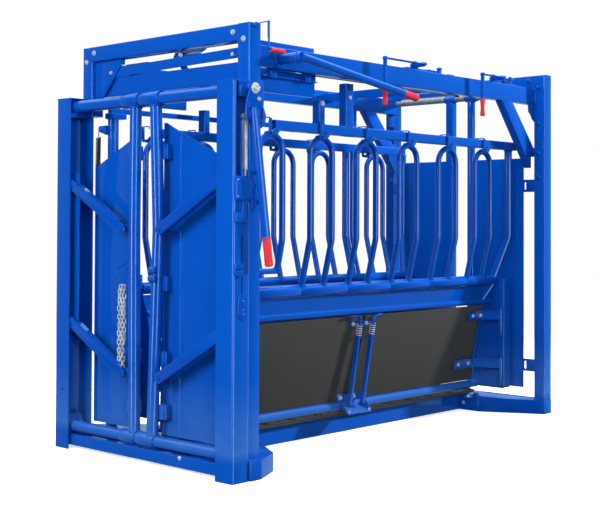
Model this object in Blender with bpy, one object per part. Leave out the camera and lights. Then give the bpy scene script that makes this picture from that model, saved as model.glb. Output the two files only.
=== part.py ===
"""Cattle crush: a manual squeeze chute with a sliding neck-bar headgate, two V-shaped squeeze walls with
drop bars and kick doors, and a two-leaf sliding tailgate. Metres, +Z up, headgate towards -Y, operator side +X."""

import math

import bmesh
import bpy
from mathutils import Matrix, Vector

for old in list(bpy.data.objects):
    bpy.data.objects.remove(old, do_unlink=True)

# ---- driving dimensions ------------------------------------------------------------------------------------
GAP = 0.0003                     # clearance between pieces that touch
FRONT_Y = -1.365                 # front face of the headgate posts
REAR_Y = 1.365                   # rear face of the rear frame
POST_X = 0.659                   # outer face of the headgate posts
POST_IN = 0.546                  # inner edge of the headgate posts
POST_TOP = 1.787
ARCH_X = 0.618                   # outer face of both arches
TUBE = 0.0765                    # 3 in square tube
ARCH_Y = -1.234                  # front face of the front arch
ARCH_TOP = 2.06
GUIDE_Y = -1.315                 # guide pipes of the neck bars
GUIDE_TOP_Z = 1.743
GUIDE_LOW_Z = 0.112
GUIDE_R = 0.030
BAR_R = 0.029
PANEL_Y = -1.25
ARM_PIVOT_X = 0.545
ARM_IN_X = 0.1425
ARM_Z = (1.343, 0.645)           # outer pivots, upper and lower
ARM_DROP = 0.225
BEAM_IN, BEAM_OUT = 0.50, 0.55   # side beams
BEAM_LOW, BEAM_TOP = 1.88, 1.98
RAIL_X = 0.43                    # top rail of a squeeze wall
RAIL_Z = (1.60, 1.65)
LOOP_X = 0.41
LOOP_R = 0.016
LOOP_TOP = 1.580
MID_X, MID_Z = 0.345, 0.81       # mid rail: hinge of the drop bars
LOW_X, LOW_Z = 0.20, 0.165       # bottom pipe: hinge of the squeeze wall
LOOPS = {
    "near": ((-0.957, -0.797), (-0.594, -0.429), (-0.234, -0.075), (0.126, 0.285), (0.487, 0.655), (0.850, 1.008)),
    "far": ((-0.980, -0.820), (-0.655, -0.495), (-0.332, -0.172), (-0.013, 0.151), (0.315, 0.470), (0.835, 0.998)),
}
DOOR_Y = 1.262                   # plane of the tailgate leaves
TRACK_Z = 1.95
TRACK_R = 0.018
KICK_HINGE_X = 0.41

collection = bpy.data.collections.new("cattle_crush")
bpy.context.scene.collection.children.link(collection)
helpers = bpy.data.collections.new("helpers")
bpy.context.scene.collection.children.link(helpers)


def material(name, color, metallic, roughness):
    mat = bpy.data.materials.new(name)
    mat.use_nodes = True
    shader = mat.node_tree.nodes["Principled BSDF"]
    shader.inputs["Base Color"].default_value = (*color, 1)
    shader.inputs["Metallic"].default_value = metallic
    shader.inputs["Roughness"].default_value = roughness
    mat.diffuse_color = (*color, 1)
    return mat


BLUE = material("blue_paint", (0.002, 0.085, 0.56), 0.0, 0.3)
RED = material("red_rubber", (0.82, 0.03, 0.03), 0.0, 0.55)
BLACK = material("black_board", (0.045, 0.042, 0.038), 0.0, 0.6)
ZINC = material("zinc_steel", (0.62, 0.63, 0.64), 1.0, 0.35)
DECK = material("deck_rubber", (0.02, 0.02, 0.022), 0.0, 0.8)


# ---- shapes --------------------------------------------------------------------------------------------------
def helper(mesh, name="h"):
    obj = bpy.data.objects.new(name, mesh)
    obj.hide_render = True
    obj.display_type = "WIRE"
    helpers.objects.link(obj)
    return obj


def from_bmesh(bm):
    bmesh.ops.recalc_face_normals(bm, faces=bm.faces)
    mesh = bpy.data.meshes.new("h")
    bm.to_mesh(mesh)
    bm.free()
    return helper(mesh)


def box(x0, x1, y0, y1, z0, z1):
    """A box between two corners."""
    bm = bmesh.new()
    size = Matrix.Diagonal((abs(x1 - x0), abs(y1 - y0), abs(z1 - z0), 1))
    mid = Matrix.Translation(((x0 + x1) / 2, (y0 + y1) / 2, (z0 + z1) / 2))
    bmesh.ops.create_cube(bm, size=1, matrix=mid @ size)
    return from_bmesh(bm)


def rod(a, b, radius, sides=16, radius2=None):
    """A round bar from a to b."""
    a, b = Vector(a), Vector(b)
    turn = (b - a).to_track_quat("Z", "Y").to_matrix().to_4x4()
    bm = bmesh.new()
    bmesh.ops.create_cone(
        bm, cap_ends=True, segments=sides, radius1=radius, radius2=radius if radius2 is None else radius2,
        depth=(b - a).length, matrix=Matrix.Translation((a + b) / 2) @ turn,
    )
    return from_bmesh(bm)


def beam(a, b, width, height, up=(0, 0, 1)):
    """A flat or square bar from a to b; width lies across both its length and up."""
    a, b = Vector(a), Vector(b)
    along = (b - a).normalized()
    side = along.cross(Vector(up)).normalized()
    top = side.cross(along)
    bm = bmesh.new()
    frame = Matrix((side, top, along)).transposed().to_4x4()
    size = Matrix.Diagonal((width, height, (b - a).length, 1))
    bmesh.ops.create_cube(bm, size=1, matrix=Matrix.Translation((a + b) / 2) @ frame @ size)
    return from_bmesh(bm)


def pipe(points, radius, sides=8):
    """A bent round bar through the points."""
    curve = bpy.data.curves.new("h", "CURVE")
    curve.dimensions = "3D"
    curve.fill_mode = "FULL"
    curve.bevel_depth = radius
    curve.bevel_resolution = (sides - 4) // 2
    curve.use_fill_caps = True
    spline = curve.splines.new("POLY")
    spline.points.add(len(points) - 1)
    for point, at in zip(spline.points, points):
        point.co = (*at, 1)
    holder = bpy.data.objects.new("h", curve)
    helpers.objects.link(holder)
    bpy.context.view_layer.update()
    mesh = bpy.data.meshes.new_from_object(holder)
    bpy.data.objects.remove(holder, do_unlink=True)
    bm = bmesh.new()
    bm.from_mesh(mesh)
    bpy.data.meshes.remove(mesh)
    bmesh.ops.remove_doubles(bm, verts=bm.verts, dist=0.00002)
    return from_bmesh(bm)


def rounded(points, radius, steps=4):
    """The path with its inner corners turned into arcs."""
    points = [Vector(p) for p in points]
    out = [points[0]]
    for before, at, after in zip(points, points[1:], points[2:]):
        one, two = (before - at).normalized(), (after - at).normalized()
        half = one.angle(two) / 2
        cut = min(radius / math.tan(half), (before - at).length * 0.49, (after - at).length * 0.49)
        real = cut * math.tan(half)
        centre = at + (one + two).normalized() * (real / math.sin(half))
        start, end = at + one * cut, at + two * cut
        for i in range(steps + 1):
            t = i / steps
            turn = math.pi - 2 * half
            first, last = start - centre, end - centre
            out.append(centre + first * (math.sin((1 - t) * turn) / math.sin(turn)) + last * (math.sin(t * turn) / math.sin(turn)))
    out.append(points[-1])
    return out


def prism(outline, axis, low, high):
    """A flat outline given thickness. The outline is (y, z) for axis x, (x, z) for y and (x, y) for z."""
    curve = bpy.data.curves.new("h", "CURVE")
    curve.dimensions = "2D"
    curve.fill_mode = "BOTH"
    curve.extrude = abs(high - low) / 2
    spline = curve.splines.new("POLY")
    spline.points.add(len(outline) - 1)
    for point, at in zip(spline.points, outline):
        point.co = (at[0], at[1], 0, 1)
    spline.use_cyclic_u = True
    holder = bpy.data.objects.new("h", curve)
    helpers.objects.link(holder)
    middle = (low + high) / 2
    columns = {
        "z": ((1, 0, 0), (0, 1, 0), (0, 0, 1), (0, 0, middle)),
        "x": ((0, 1, 0), (0, 0, 1), (1, 0, 0), (middle, 0, 0)),
        "y": ((1, 0, 0), (0, 0, 1), (0, -1, 0), (0, middle, 0)),
    }[axis]
    holder.matrix_world = Matrix([[*(c[i] for c in columns)] for i in range(3)] + [[0, 0, 0, 1]])
    bpy.context.view_layer.update()
    mesh = bpy.data.meshes.new_from_object(holder)
    bm = bmesh.new()
    bm.from_mesh(mesh)
    bm.transform(holder.matrix_world)
    bpy.data.meshes.remove(mesh)
    bpy.data.objects.remove(holder, do_unlink=True)
    bmesh.ops.remove_doubles(bm, verts=bm.verts, dist=0.00002)
    return from_bmesh(bm)


def slot(centre, length, width, axis, low, high, angle=90.0, steps=5):
    """A stadium-shaped prism: a bar with two round ends."""
    r = width / 2
    half = max(length / 2 - r, 0)
    a = math.radians(angle)
    along = Vector((math.cos(a), math.sin(a)))
    outline = []
    for sign in (1, -1):
        for i in range(steps + 1):
            t = a - sign * 0 + math.pi * (i / steps - 0.5) + (0 if sign > 0 else math.pi)
            outline.append(Vector(centre) + along * half * sign + Vector((math.cos(t), math.sin(t))) * r)
    return prism([tuple(p) for p in outline], axis, low, high)


def node(name, mat, adds, cuts=()):
    """One solid piece: every shape of adds welded together, less every shape of cuts."""
    base = adds[0]
    mesh = base.data.copy()
    obj = bpy.data.objects.new(name, mesh)
    collection.objects.link(obj)
    mesh.name = name
    bpy.data.objects.remove(base, do_unlink=True)
    for label, operation, tools in (("weld", "UNION", adds[1:]), ("cut", "DIFFERENCE", cuts)):
        if not tools:
            continue
        group = bpy.data.collections.new(f"{name}_{label}")
        helpers.children.link(group)
        for tool in tools:
            helpers.objects.unlink(tool)
            group.objects.link(tool)
        modifier = obj.modifiers.new(label, "BOOLEAN")
        modifier.operation = operation
        modifier.operand_type = "COLLECTION"
        modifier.collection = group
        modifier.solver = "EXACT"
    mesh.materials.append(mat)
    for shape in [mesh] + [tool.data for c in helpers.children if c.name.startswith(name + "_") for tool in c.objects]:
        shape.shade_smooth()
        shape.set_sharp_from_angle(angle=math.radians(32))
    return obj


def weld_more(obj, label, tools):
    """Shapes welded on after the cuts."""
    group = bpy.data.collections.new(f"{obj.name}_{label}")
    helpers.children.link(group)
    for tool in tools:
        helpers.objects.unlink(tool)
        group.objects.link(tool)
    modifier = obj.modifiers.new(label, "BOOLEAN")
    modifier.operation = "UNION"
    modifier.operand_type = "COLLECTION"
    modifier.collection = group
    modifier.solver = "EXACT"


def mirrored(outline):
    return [(-x, y) for x, y in reversed(outline)]


# ---- base and floor ------------------------------------------------------------------------------------------
front_half = [(0.668, -1.262), (0.668, -1.193), (0.587, -1.033), (0.377, -0.904), (0.132, -0.86)]
rear_half = [(0.132, 1.10), (0.27, 1.10), (0.58, 1.27), (0.618, 1.285), (0.618, REAR_Y)]
front_foot = front_half + mirrored(front_half)
rear_foot = rear_half + mirrored(rear_half)
front_in = [(0.661, -1.255), (0.661, -1.196), (0.582, -1.040), (0.374, -0.911), (0.132, -0.868)]
rear_in = [(0.132, 1.107), (0.268, 1.107), (0.577, 1.277), (0.611, 1.291), (0.611, REAR_Y - 0.007)]
base = [
    prism(front_foot, "z", 0, 0.088),
    prism(rear_foot, "z", 0, 0.085),
    box(-0.13, 0.13, -0.06, 0.06, 0, 0.09),
]
for s in (1, -1):
    base += [box(s * 0.08, s * 0.13, -1.1, 1.2, 0.0008, 0.0995)]
    for y in (-0.93, -0.07, 0.96):
        base += [
            box(s * 0.12, s * 0.226, y - 0.03, y + 0.03, 0.035, 0.0985),
            box(s * 0.174, s * 0.226, y - 0.03, y + 0.03, 0.09, LOW_Z - 0.024 - GAP),
        ]
node("base_frame", BLUE, base, [
    prism(front_in + mirrored(front_in), "z", -0.01, 0.082),
    prism(rear_in + mirrored(rear_in), "z", -0.01, 0.079),
    box(-POST_X - 0.02, -POST_IN + GAP, -1.28, -1.217 + GAP, -0.01, 0.10),
])

deck = [box(-0.168, 0.168, -1.10, 1.20, 0.0998, 0.118)]
deck += [box(-0.160, 0.160, -1.04 + 0.2 * i - 0.02, -1.04 + 0.2 * i + 0.02, 0.11, 0.128) for i in range(12)]
node("floor_deck", DECK, deck)

# ---- headgate frame: channel posts, guide pipes, sill ---------------------------------------------------------
NEAR_BACK = -1.266
FAR_BACK = -1.217
head = [
    box(POST_IN, POST_X, FRONT_Y, NEAR_BACK, 0, POST_TOP),
    box(-POST_X, -POST_IN, FRONT_Y, FAR_BACK, 0, POST_TOP),
    # spacers that carry the arch
    box(0.56, 0.60, NEAR_BACK - 0.004, ARCH_Y - GAP, 0.092, 0.127),
    box(0.56, 0.60, NEAR_BACK - 0.004, ARCH_Y - GAP, 1.66, 1.74),
    # oblong cover and half-round lugs on the outer face
    slot((-1.3075, 0.778), 0.118, 0.064, "x", POST_X - 0.002, POST_X + 0.004),
    prism([(-1.3640, 0.9445), (-1.3120, 0.9445), (-1.3120, 0.9550), (-1.3200, 0.9690), (-1.3380, 0.9760), (-1.3560, 0.9690), (-1.3640, 0.9550)],
          "x", POST_X - 0.002, POST_X + 0.012),
    prism([(-1.3640, 0.9405), (-1.3640, 0.9300), (-1.3560, 0.9160), (-1.3380, 0.9090), (-1.3200, 0.9160), (-1.3120, 0.9300), (-1.3120, 0.9405)],
          "x", POST_X - 0.002, POST_X + 0.012),
    # boss over the end of the top guide pipe, and the lug that carries the latch cam
    rod((POST_X - 0.002, GUIDE_Y, GUIDE_TOP_Z), (POST_X + 0.007, GUIDE_Y, GUIDE_TOP_Z), 0.0195, 14),
    box(0.6455, 0.6585, NEAR_BACK - 0.002, -1.230, 1.362, 1.394),
    # latch box for the friction bar
    box(POST_X - 0.002, POST_X + 0.015, -1.362, -1.267, 1.253, 1.354),
    box(POST_X - 0.002, POST_X + 0.014, -1.362, -1.286, 1.152, 1.198),
]
head_cuts = [
    box(POST_IN - 0.02, POST_X - 0.005, FRONT_Y + 0.005, NEAR_BACK - 0.005, 0.006, POST_TOP - 0.005),
    box(-POST_X + 0.005, -POST_IN + 0.02, FRONT_Y + 0.005, FAR_BACK - 0.005, 0.006, POST_TOP - 0.005),
    # the far arch leg stands in a notch of the far post
    box(-ARCH_X - GAP, -ARCH_X + TUBE + GAP, ARCH_Y - GAP, FAR_BACK + 0.02, 1.70 - GAP, POST_TOP + 0.02),
    # window for the friction bar and slot under it
    box(POST_X - 0.02, POST_X + 0.03, -1.349, -1.2713, 1.36, 1.712),
    slot((-1.313, 0.967), 0.262, 0.008, "x", POST_X - 0.02, POST_X + 0.02),
    # the friction bar rises through the top cap
    box(0.618, 0.6545, -1.2975, -1.2705, POST_TOP - 0.02, POST_TOP + 0.02),
    # hole in the far post
    rod((-0.596, FRONT_Y - 0.01, 0.298), (-0.596, FRONT_Y + 0.02, 0.298), 0.006, 10),
]
posts = node("headgate_posts", BLUE, head, head_cuts)
# the guide pipes end in plates inside the posts
pipes = [
    rod((-0.604, GUIDE_Y, GUIDE_TOP_Z), (0.604, GUIDE_Y, GUIDE_TOP_Z), GUIDE_R, 16),
    rod((-0.604, GUIDE_Y, GUIDE_LOW_Z - 0.0005), (0.604, GUIDE_Y, GUIDE_LOW_Z - 0.0005), 0.0285, 16),
]
# sill under the low pipe, and the gusset at the far post
pipes += [
    box(-0.582, 0.582, -1.343, -1.287, 0.017, 0.0735),
    prism([(-0.64, 0.075), (-0.508, 0.075), (-0.508, 0.10), (-0.60, 0.184), (-0.64, 0.184)], "y", -1.268, -1.262),
    box(-0.56, -0.508, -1.30, -1.262, 0.070, 0.084),
]
for s in (1, -1):
    pipes += [box(s * 0.578, s * 0.586, FRONT_Y + 0.004, NEAR_BACK - 0.004 if s > 0 else back, z0, z1)
              for back, z0, z1 in ((ARCH_Y - 0.001, 1.690, 1.783), (-1.256, 0.050, 0.170))]
weld_more(posts, "pipes", pipes)

# ---- front arch with its header channel, gusset and tie bar ----------------------------------------------------
AY0, AY1 = ARCH_Y, ARCH_Y + TUBE
arch = [
    box(ARCH_X - TUBE, ARCH_X, AY0, AY1, 0.0883, ARCH_TOP),
    box(-ARCH_X, ARCH_X - 0.01, AY0 + 0.00001, AY1 - 0.00001, ARCH_TOP - TUBE, ARCH_TOP - 0.00001),
    box(-ARCH_X, -ARCH_X + TUBE, AY0, AY1, 1.70, ARCH_TOP - 0.0001),
    # header channel behind the guide pipe
    box(-0.545, 0.545, -1.186, -1.180, 1.800, 1.893),
    box(-0.545, 0.545, -1.186, -1.160, 1.800, 1.806),
    prism([(-0.545, 1.99), (-0.336, 1.99), (-0.336, 1.955), (-0.50, 1.775), (-0.545, 1.775)], "y", -1.206, -1.200),
    box(-0.545, -0.50, -1.206, -1.178, 1.80, 1.92),
    # eye plate and boss behind the headgate lever
    prism([(-1.228, 1.72), (-1.165, 1.72), (-1.165, 1.80), (-1.215, 1.80)], "x", ARCH_X - 0.002, ARCH_X + 0.012),
    rod((ARCH_X - 0.002, -1.213, 1.757), (0.650, -1.213, 1.757), 0.018, 14),
    rod((ARCH_X - 0.002, -1.175, 1.622), (0.640, -1.175, 1.622), 0.020, 14),
]
node("front_arch", BLUE, arch)
node("head_tie_bar", BLUE, [
    beam((-0.4985, -1.196, 1.9165), (0.512, -1.196, 1.9345), 0.006, 0.048),
    rod((-0.448, -1.206 + 0.0063, 1.924), (-0.448, -1.185, 1.924), 0.011, 10),
    rod((0.481, -1.205, 1.929), (0.481, -1.185, 1.929), 0.011, 10),
])

# ---- pipe and bar at the far front ------------------------------------------------------------------------------
node("far_side_pipe", BLUE, [
    rod((-0.50, -1.125, 0.0883), (-0.50, -1.125, 1.700), 0.0285, 16),
    box(-0.53, -0.47, -1.156, -1.06, 1.69, 1.7205),
    box(-0.515, -0.485, -1.150, 0.970, 1.72, 1.747),
    box(-0.512, -0.488, -0.30, -0.27, 1.74, 1.8797),
    box(-0.512, -0.488, 0.80, 0.83, 1.74, 1.8797),
])

# ---- rear frame, tailgate track ---------------------------------------------------------------------------------
RY0 = REAR_Y - TUBE
rear = [
    box(ARCH_X - TUBE, ARCH_X, RY0, REAR_Y, 0.0853, ARCH_TOP),
    box(-ARCH_X, -ARCH_X + TUBE, RY0, REAR_Y, 0.0853, ARCH_TOP),
    box(-ARCH_X + 0.01, ARCH_X - 0.01, RY0 + 0.00001, REAR_Y - 0.00001, ARCH_TOP - TUBE, ARCH_TOP - 0.00001),
]
rear_cuts = []
for z in (1.386, 0.288):
    for s in (1, -1):
        rear.append(box(s * 0.462, s * 0.545, RY0 + 0.004, RY0 + 0.010, z - 0.038, z + 0.038))
        rear_cuts.append(box(s * 0.472, s * 0.484, RY0 - 0.01, RY0 + 0.02, z - 0.024, z + 0.024))
node("rear_frame", BLUE, rear, rear_cuts)
node("tailgate_track", ZINC, [rod((-BEAM_IN + GAP, DOOR_Y, TRACK_Z), (BEAM_IN - GAP, DOOR_Y, TRACK_Z), TRACK_R, 16)])

# ---- side beams ---------------------------------------------------------------------------------------------------
BY0, BY1 = AY1 + GAP, RY0 - GAP
SHAFT_Y, SHAFT_Z = -0.97, 1.922
HZ = 2.004                       # pins of the tailgate handles
beams, beam_cuts = [], []
for side, s in (("near", 1), ("far", -1)):
    adds = [
        box(s * BEAM_IN, s * BEAM_OUT, BY0, BY1, BEAM_LOW, BEAM_TOP),
        prism([(0.868, 1.90), (1.043, 1.90), (BY1, 1.62), (BY1, 1.562), (1.245, 1.562), (1.245, 1.485), (0.868, 1.877)],
              "x", s * (BEAM_IN + 0.0005), s * (BEAM_OUT - 0.0005)),
        # link channel under the beam
        box(s * 0.474, s * 0.4985, -1.03, -0.64, 1.77, 1.85),
        box(s * 0.480, s * 0.510, -0.98, -0.94, 1.84, 1.89),
        box(s * 0.480, s * 0.510, -0.74, -0.70, 1.84, 1.89),
    ]
    cuts = [box(s * 0.4795, s * 0.52, -1.04, -0.63, 1.776, 1.844)] if s > 0 else []
    if s > 0:
        adds += [
            rod((BEAM_OUT - 0.002, SHAFT_Y, SHAFT_Z), (BEAM_OUT + 0.014, SHAFT_Y, SHAFT_Z), 0.040, 16),
            box(0.505, 0.545, 0.02, 0.19, BEAM_TOP - 0.002, BEAM_TOP + 0.008),
            box(0.505, 0.545, 0.80, 0.92, BEAM_TOP - 0.002, BEAM_TOP + 0.008),
            # lugs of the two tailgate handles
            box(0.530, 0.540, 0.072, 0.128, BEAM_TOP, HZ + 0.024),
            box(0.530, 0.540, 0.831, 0.887, BEAM_TOP, HZ + 0.024),
            # upstand plate
            box(0.520, 0.526, -0.86, -0.74, BEAM_TOP - 0.002, BEAM_TOP + 0.030),
            # roller of the gate cable
            rod((0.505, 0.269, BEAM_TOP - 0.002), (0.505, 0.269, BEAM_TOP + 0.02), 0.016, 12),
        ]
        cuts.append(rod((0.45, SHAFT_Y, SHAFT_Z), (0.60, SHAFT_Y, SHAFT_Z), 0.0255, 16))
        cuts += [rod((0.52, y, HZ), (0.55, y, HZ), 0.0135, 12) for y in (0.100, 0.859)]
    beams += adds
    beam_cuts += cuts
# ties across the roof
beams += [box(-0.51, 0.51, -0.66, -0.60, 1.915, 1.965), box(-0.51, 0.51, 0.55, 0.60, 1.915, 1.965)]
node("top_beams", BLUE, beams, beam_cuts)

# ---- headgate: neck bars, panels, arms, sliders -----------------------------------------------------------------
SIDES = {
    "right": dict(s=1, bar=((0.068, 1.710), (0.093, 1.115), (0.055, 0.135)), top=(-0.022, 0.112), low=(-0.036, 0.090)),
    "left": dict(s=-1, bar=((-0.082, 1.710), (-0.0875, 1.114), (-0.080, 0.135)), top=(-0.167, -0.044), low=(-0.158, -0.051)),
}
PANELS = {
    "right": [(0.071, 0.132), (0.463, 0.132), (0.463, 1.457), (0.155, 1.592), (0.071, 1.633)],
    "left": [(-0.463, 0.137), (-0.122, 0.137), (-0.122, 1.596), (-0.207, 1.556), (-0.463, 1.439)],
}
for side, d in SIDES.items():
    s = d["s"]
    bar = [(x, GUIDE_Y, z) for x, z in d["bar"]]
    ring_cuts = [
        rod((d["top"][0] - 0.02, GUIDE_Y, GUIDE_TOP_Z), (d["top"][1] + 0.02, GUIDE_Y, GUIDE_TOP_Z), GUIDE_R + 0.0008, 16),
        rod((d["low"][0] - 0.02, GUIDE_Y, GUIDE_LOW_Z - 0.0005), (d["low"][1] + 0.02, GUIDE_Y, GUIDE_LOW_Z - 0.0005), 0.0293, 16),
    ]
    adds = [
        pipe(bar, BAR_R, 12),
        rod((d["top"][0], GUIDE_Y, GUIDE_TOP_Z), (d["top"][1], GUIDE_Y, GUIDE_TOP_Z), 0.0375, 16),
        rod((d["low"][0], GUIDE_Y, GUIDE_LOW_Z - 0.0005), (d["low"][1], GUIDE_Y, GUIDE_LOW_Z - 0.0005), 0.0360, 16),
    ]
    for z in ARM_Z:
        zi = z - ARM_DROP
        # lug and pin of a link arm
        adds += [
            box(s * 0.085, s * 0.160, -1.3240, -1.3160, zi - 0.028, zi + 0.028),
            rod((s * ARM_IN_X, -1.330 + 0.012, zi), (s * ARM_IN_X, -1.3625, zi), 0.0085, 12),
        ]
    for z in (1.49, 0.86, 0.50, 0.25):
        near_x = 0.082 if s > 0 else -0.100
        far_x = 0.105 if s > 0 else -0.160
        adds.append(box(min(near_x, far_x), max(near_x, far_x), -1.30, PANEL_Y - 0.0015 - GAP, z - 0.035, z + 0.035))
    if s > 0:
        adds += [rod((0.070, -1.347, 0.925), (0.112, -1.347, 0.925), 0.017, 12), rod((0.070, -1.347, 0.885), (0.112, -1.347, 0.885), 0.017, 12)]
    node(f"neck_bar_{side}", BLUE, adds, ring_cuts)
    node(f"head_panel_{side}", BLUE, [prism(PANELS[side], "y", PANEL_Y - 0.0015, PANEL_Y + 0.0015)])
    # slider in the post, with the outer pins of the two arms
    slider = [box(s * 0.526, s * 0.620, -1.3238, -1.3140, 0.585, 1.405)]
    node(f"slider_{side}", BLUE, slider)
    for level, z in zip(("upper", "lower"), ARM_Z):
        outer, inner = Vector((s * ARM_PIVOT_X, z)), Vector((s * ARM_IN_X, z - ARM_DROP))
        mid, span = (outer + inner) / 2, (outer - inner)
        angle = math.degrees(math.atan2(span.y, span.x))
        length = span.length
        arm = [slot(tuple(mid), length + 0.046, 0.046, "y", -1.3565, -1.3515, angle, 6)]
        unit = span.normalized()
        across = Vector((-unit.y, unit.x))
        for edge in (1, -1):
            a = mid + unit * (length / 2 - 0.035) + across * edge * 0.0204
            b = mid - unit * (length / 2 - 0.035) + across * edge * 0.0204
            arm.append(beam((a.x, -1.3405, a.y), (b.x, -1.3405, b.y), 0.0044, 0.0310, up=(0, 1, 0)))
        # the outer pin belongs to the arm and bears on the slider
        arm.append(rod((outer.x, -1.3245, outer.y), (outer.x, -1.3600, outer.y), 0.0105, 12))
        cuts = [rod((inner.x, -1.37, inner.y), (inner.x, -1.31, inner.y), 0.0092, 12)]
        node(f"arm_{level}_{side}", BLUE, arm, cuts)

# ---- headgate lever and friction bar -----------------------------------------------------------------------------
PIV_Y, PIV_Z = -1.277, 1.757
LEVER_X = 0.697
lever_top, lever_end, grip_end = (LEVER_X, -1.285, 1.690), (LEVER_X, -1.199, 1.091), (LEVER_X, -1.1795, 0.955)
node("headgate_lever", BLUE, [
    rod(lever_top, lever_end, 0.019, 16),
    prism([(-1.314, 1.785), (-1.292, 1.801), (-1.250, 1.801), (-1.238, 1.720), (-1.252, 1.700), (-1.252, 1.640),
           (-1.300, 1.626), (-1.318, 1.630), (-1.322, 1.652), (-1.316, 1.700)], "x", 0.6795, 0.6875),
    rod((POST_X + GAP, PIV_Y, PIV_Z), (0.7020, PIV_Y, PIV_Z), 0.019, 14),
    rod((0.6605, -1.2975, 1.645), (0.692, -1.2975, 1.645), 0.009, 12),
])
node("headgate_grip", RED, [rod((LEVER_X, -1.1989, 1.0903), grip_end, 0.0200, 16)])
node("friction_bar", ZINC, [
    box(0.635, 0.6535, -1.291, -1.2735, 1.16, 1.640),
    rod((0.637, -1.292, 1.628), (0.6534, -1.292, 1.628), 0.012, 12),
])
node("latch_cam", BLUE, [
    prism([(-1.2655, 1.390), (-1.256, 1.394), (-1.233, 1.391), (-1.227, 1.378), (-1.226, 1.354), (-1.234, 1.320), (-1.236, 1.284), (-1.203, 1.257), (-1.197, 1.240),
           (-1.213, 1.232), (-1.239, 1.234), (-1.250, 1.205), (-1.262, 1.212), (-1.2655, 1.239)], "x", 0.6605, 0.668),
    rod((0.6588, -1.242, 1.378), (0.6745, -1.242, 1.378), 0.011, 12),
    rod((0.664, -1.211, 1.247), (0.676, -1.211, 1.247), 0.010, 12),
])
node("trip_lever", BLUE, [
    pipe(rounded([(0.628, -1.205, 2.050), (0.628, -1.117, 2.078), (0.628, -1.117, 1.950), (0.628, -1.085, 1.945)], 0.012, 3), 0.0062, 8),
    rod((ARCH_X + GAP, -1.205, 2.050), (0.638, -1.205, 2.050), 0.014, 12),
])
node("trip_grip", RED, [rod((0.628, -1.0835, 1.945), (0.628, -1.010, 1.945), 0.0125, 12)])

# ---- squeeze lever --------------------------------------------------------------------------------------------------
SQ_X = 0.700
node("squeeze_lever", BLUE, [
    rod((0.462, SHAFT_Y, SHAFT_Z), (SQ_X + 0.004, SHAFT_Y, SHAFT_Z), 0.0245, 16),
    rod((SQ_X, SHAFT_Y - 0.004, SHAFT_Z), (SQ_X, -0.212, 1.816), 0.0195, 16),
    prism([(-0.995, 1.945), (-0.945, 1.945), (-0.905, 1.800), (-0.935, 1.795)], "x", 0.463, 0.472),
])
node("squeeze_grip", RED, [rod((SQ_X, -0.2113, 1.8159), (SQ_X, -0.095, 1.7997), 0.0205, 16)])

# ---- tailgate handles -------------------------------------------------------------------------------------------------
for name, hub_y, rod_y, low, end in (("front", 0.100, -0.234, 1.842, 1.760), ("rear", 0.859, 0.650, 1.858, 1.765)):
    node(f"tail_handle_{name}", BLUE, [
        rod((0.512, hub_y, HZ), (0.611, hub_y, HZ), 0.0127, 12),
        pipe(rounded([(0.600, hub_y + 0.012, HZ), (0.600, rod_y, HZ), (0.600, rod_y, low)], 0.02, 3), 0.0095, 8),
    ])
    node(f"tail_grip_{name}", RED, [rod((0.600, rod_y, low - GAP), (0.600, rod_y, end), 0.0145, 14)])

# ---- squeeze walls ------------------------------------------------------------------------------------------------------
END_Y = 1.150                    # rear end plate
HEAD_Y = -1.062                  # front end plate
HINGES = ((1.124, 1), (-1.036, -1))
KNUCKLES = ((0.475, 0.634), (0.181, 0.340))


def slant(z):
    """x of the inner side of the wall between the bottom pipe and the lower pipe."""
    return LOW_X + (z - 0.19) * (0.10 / 0.44)


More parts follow.
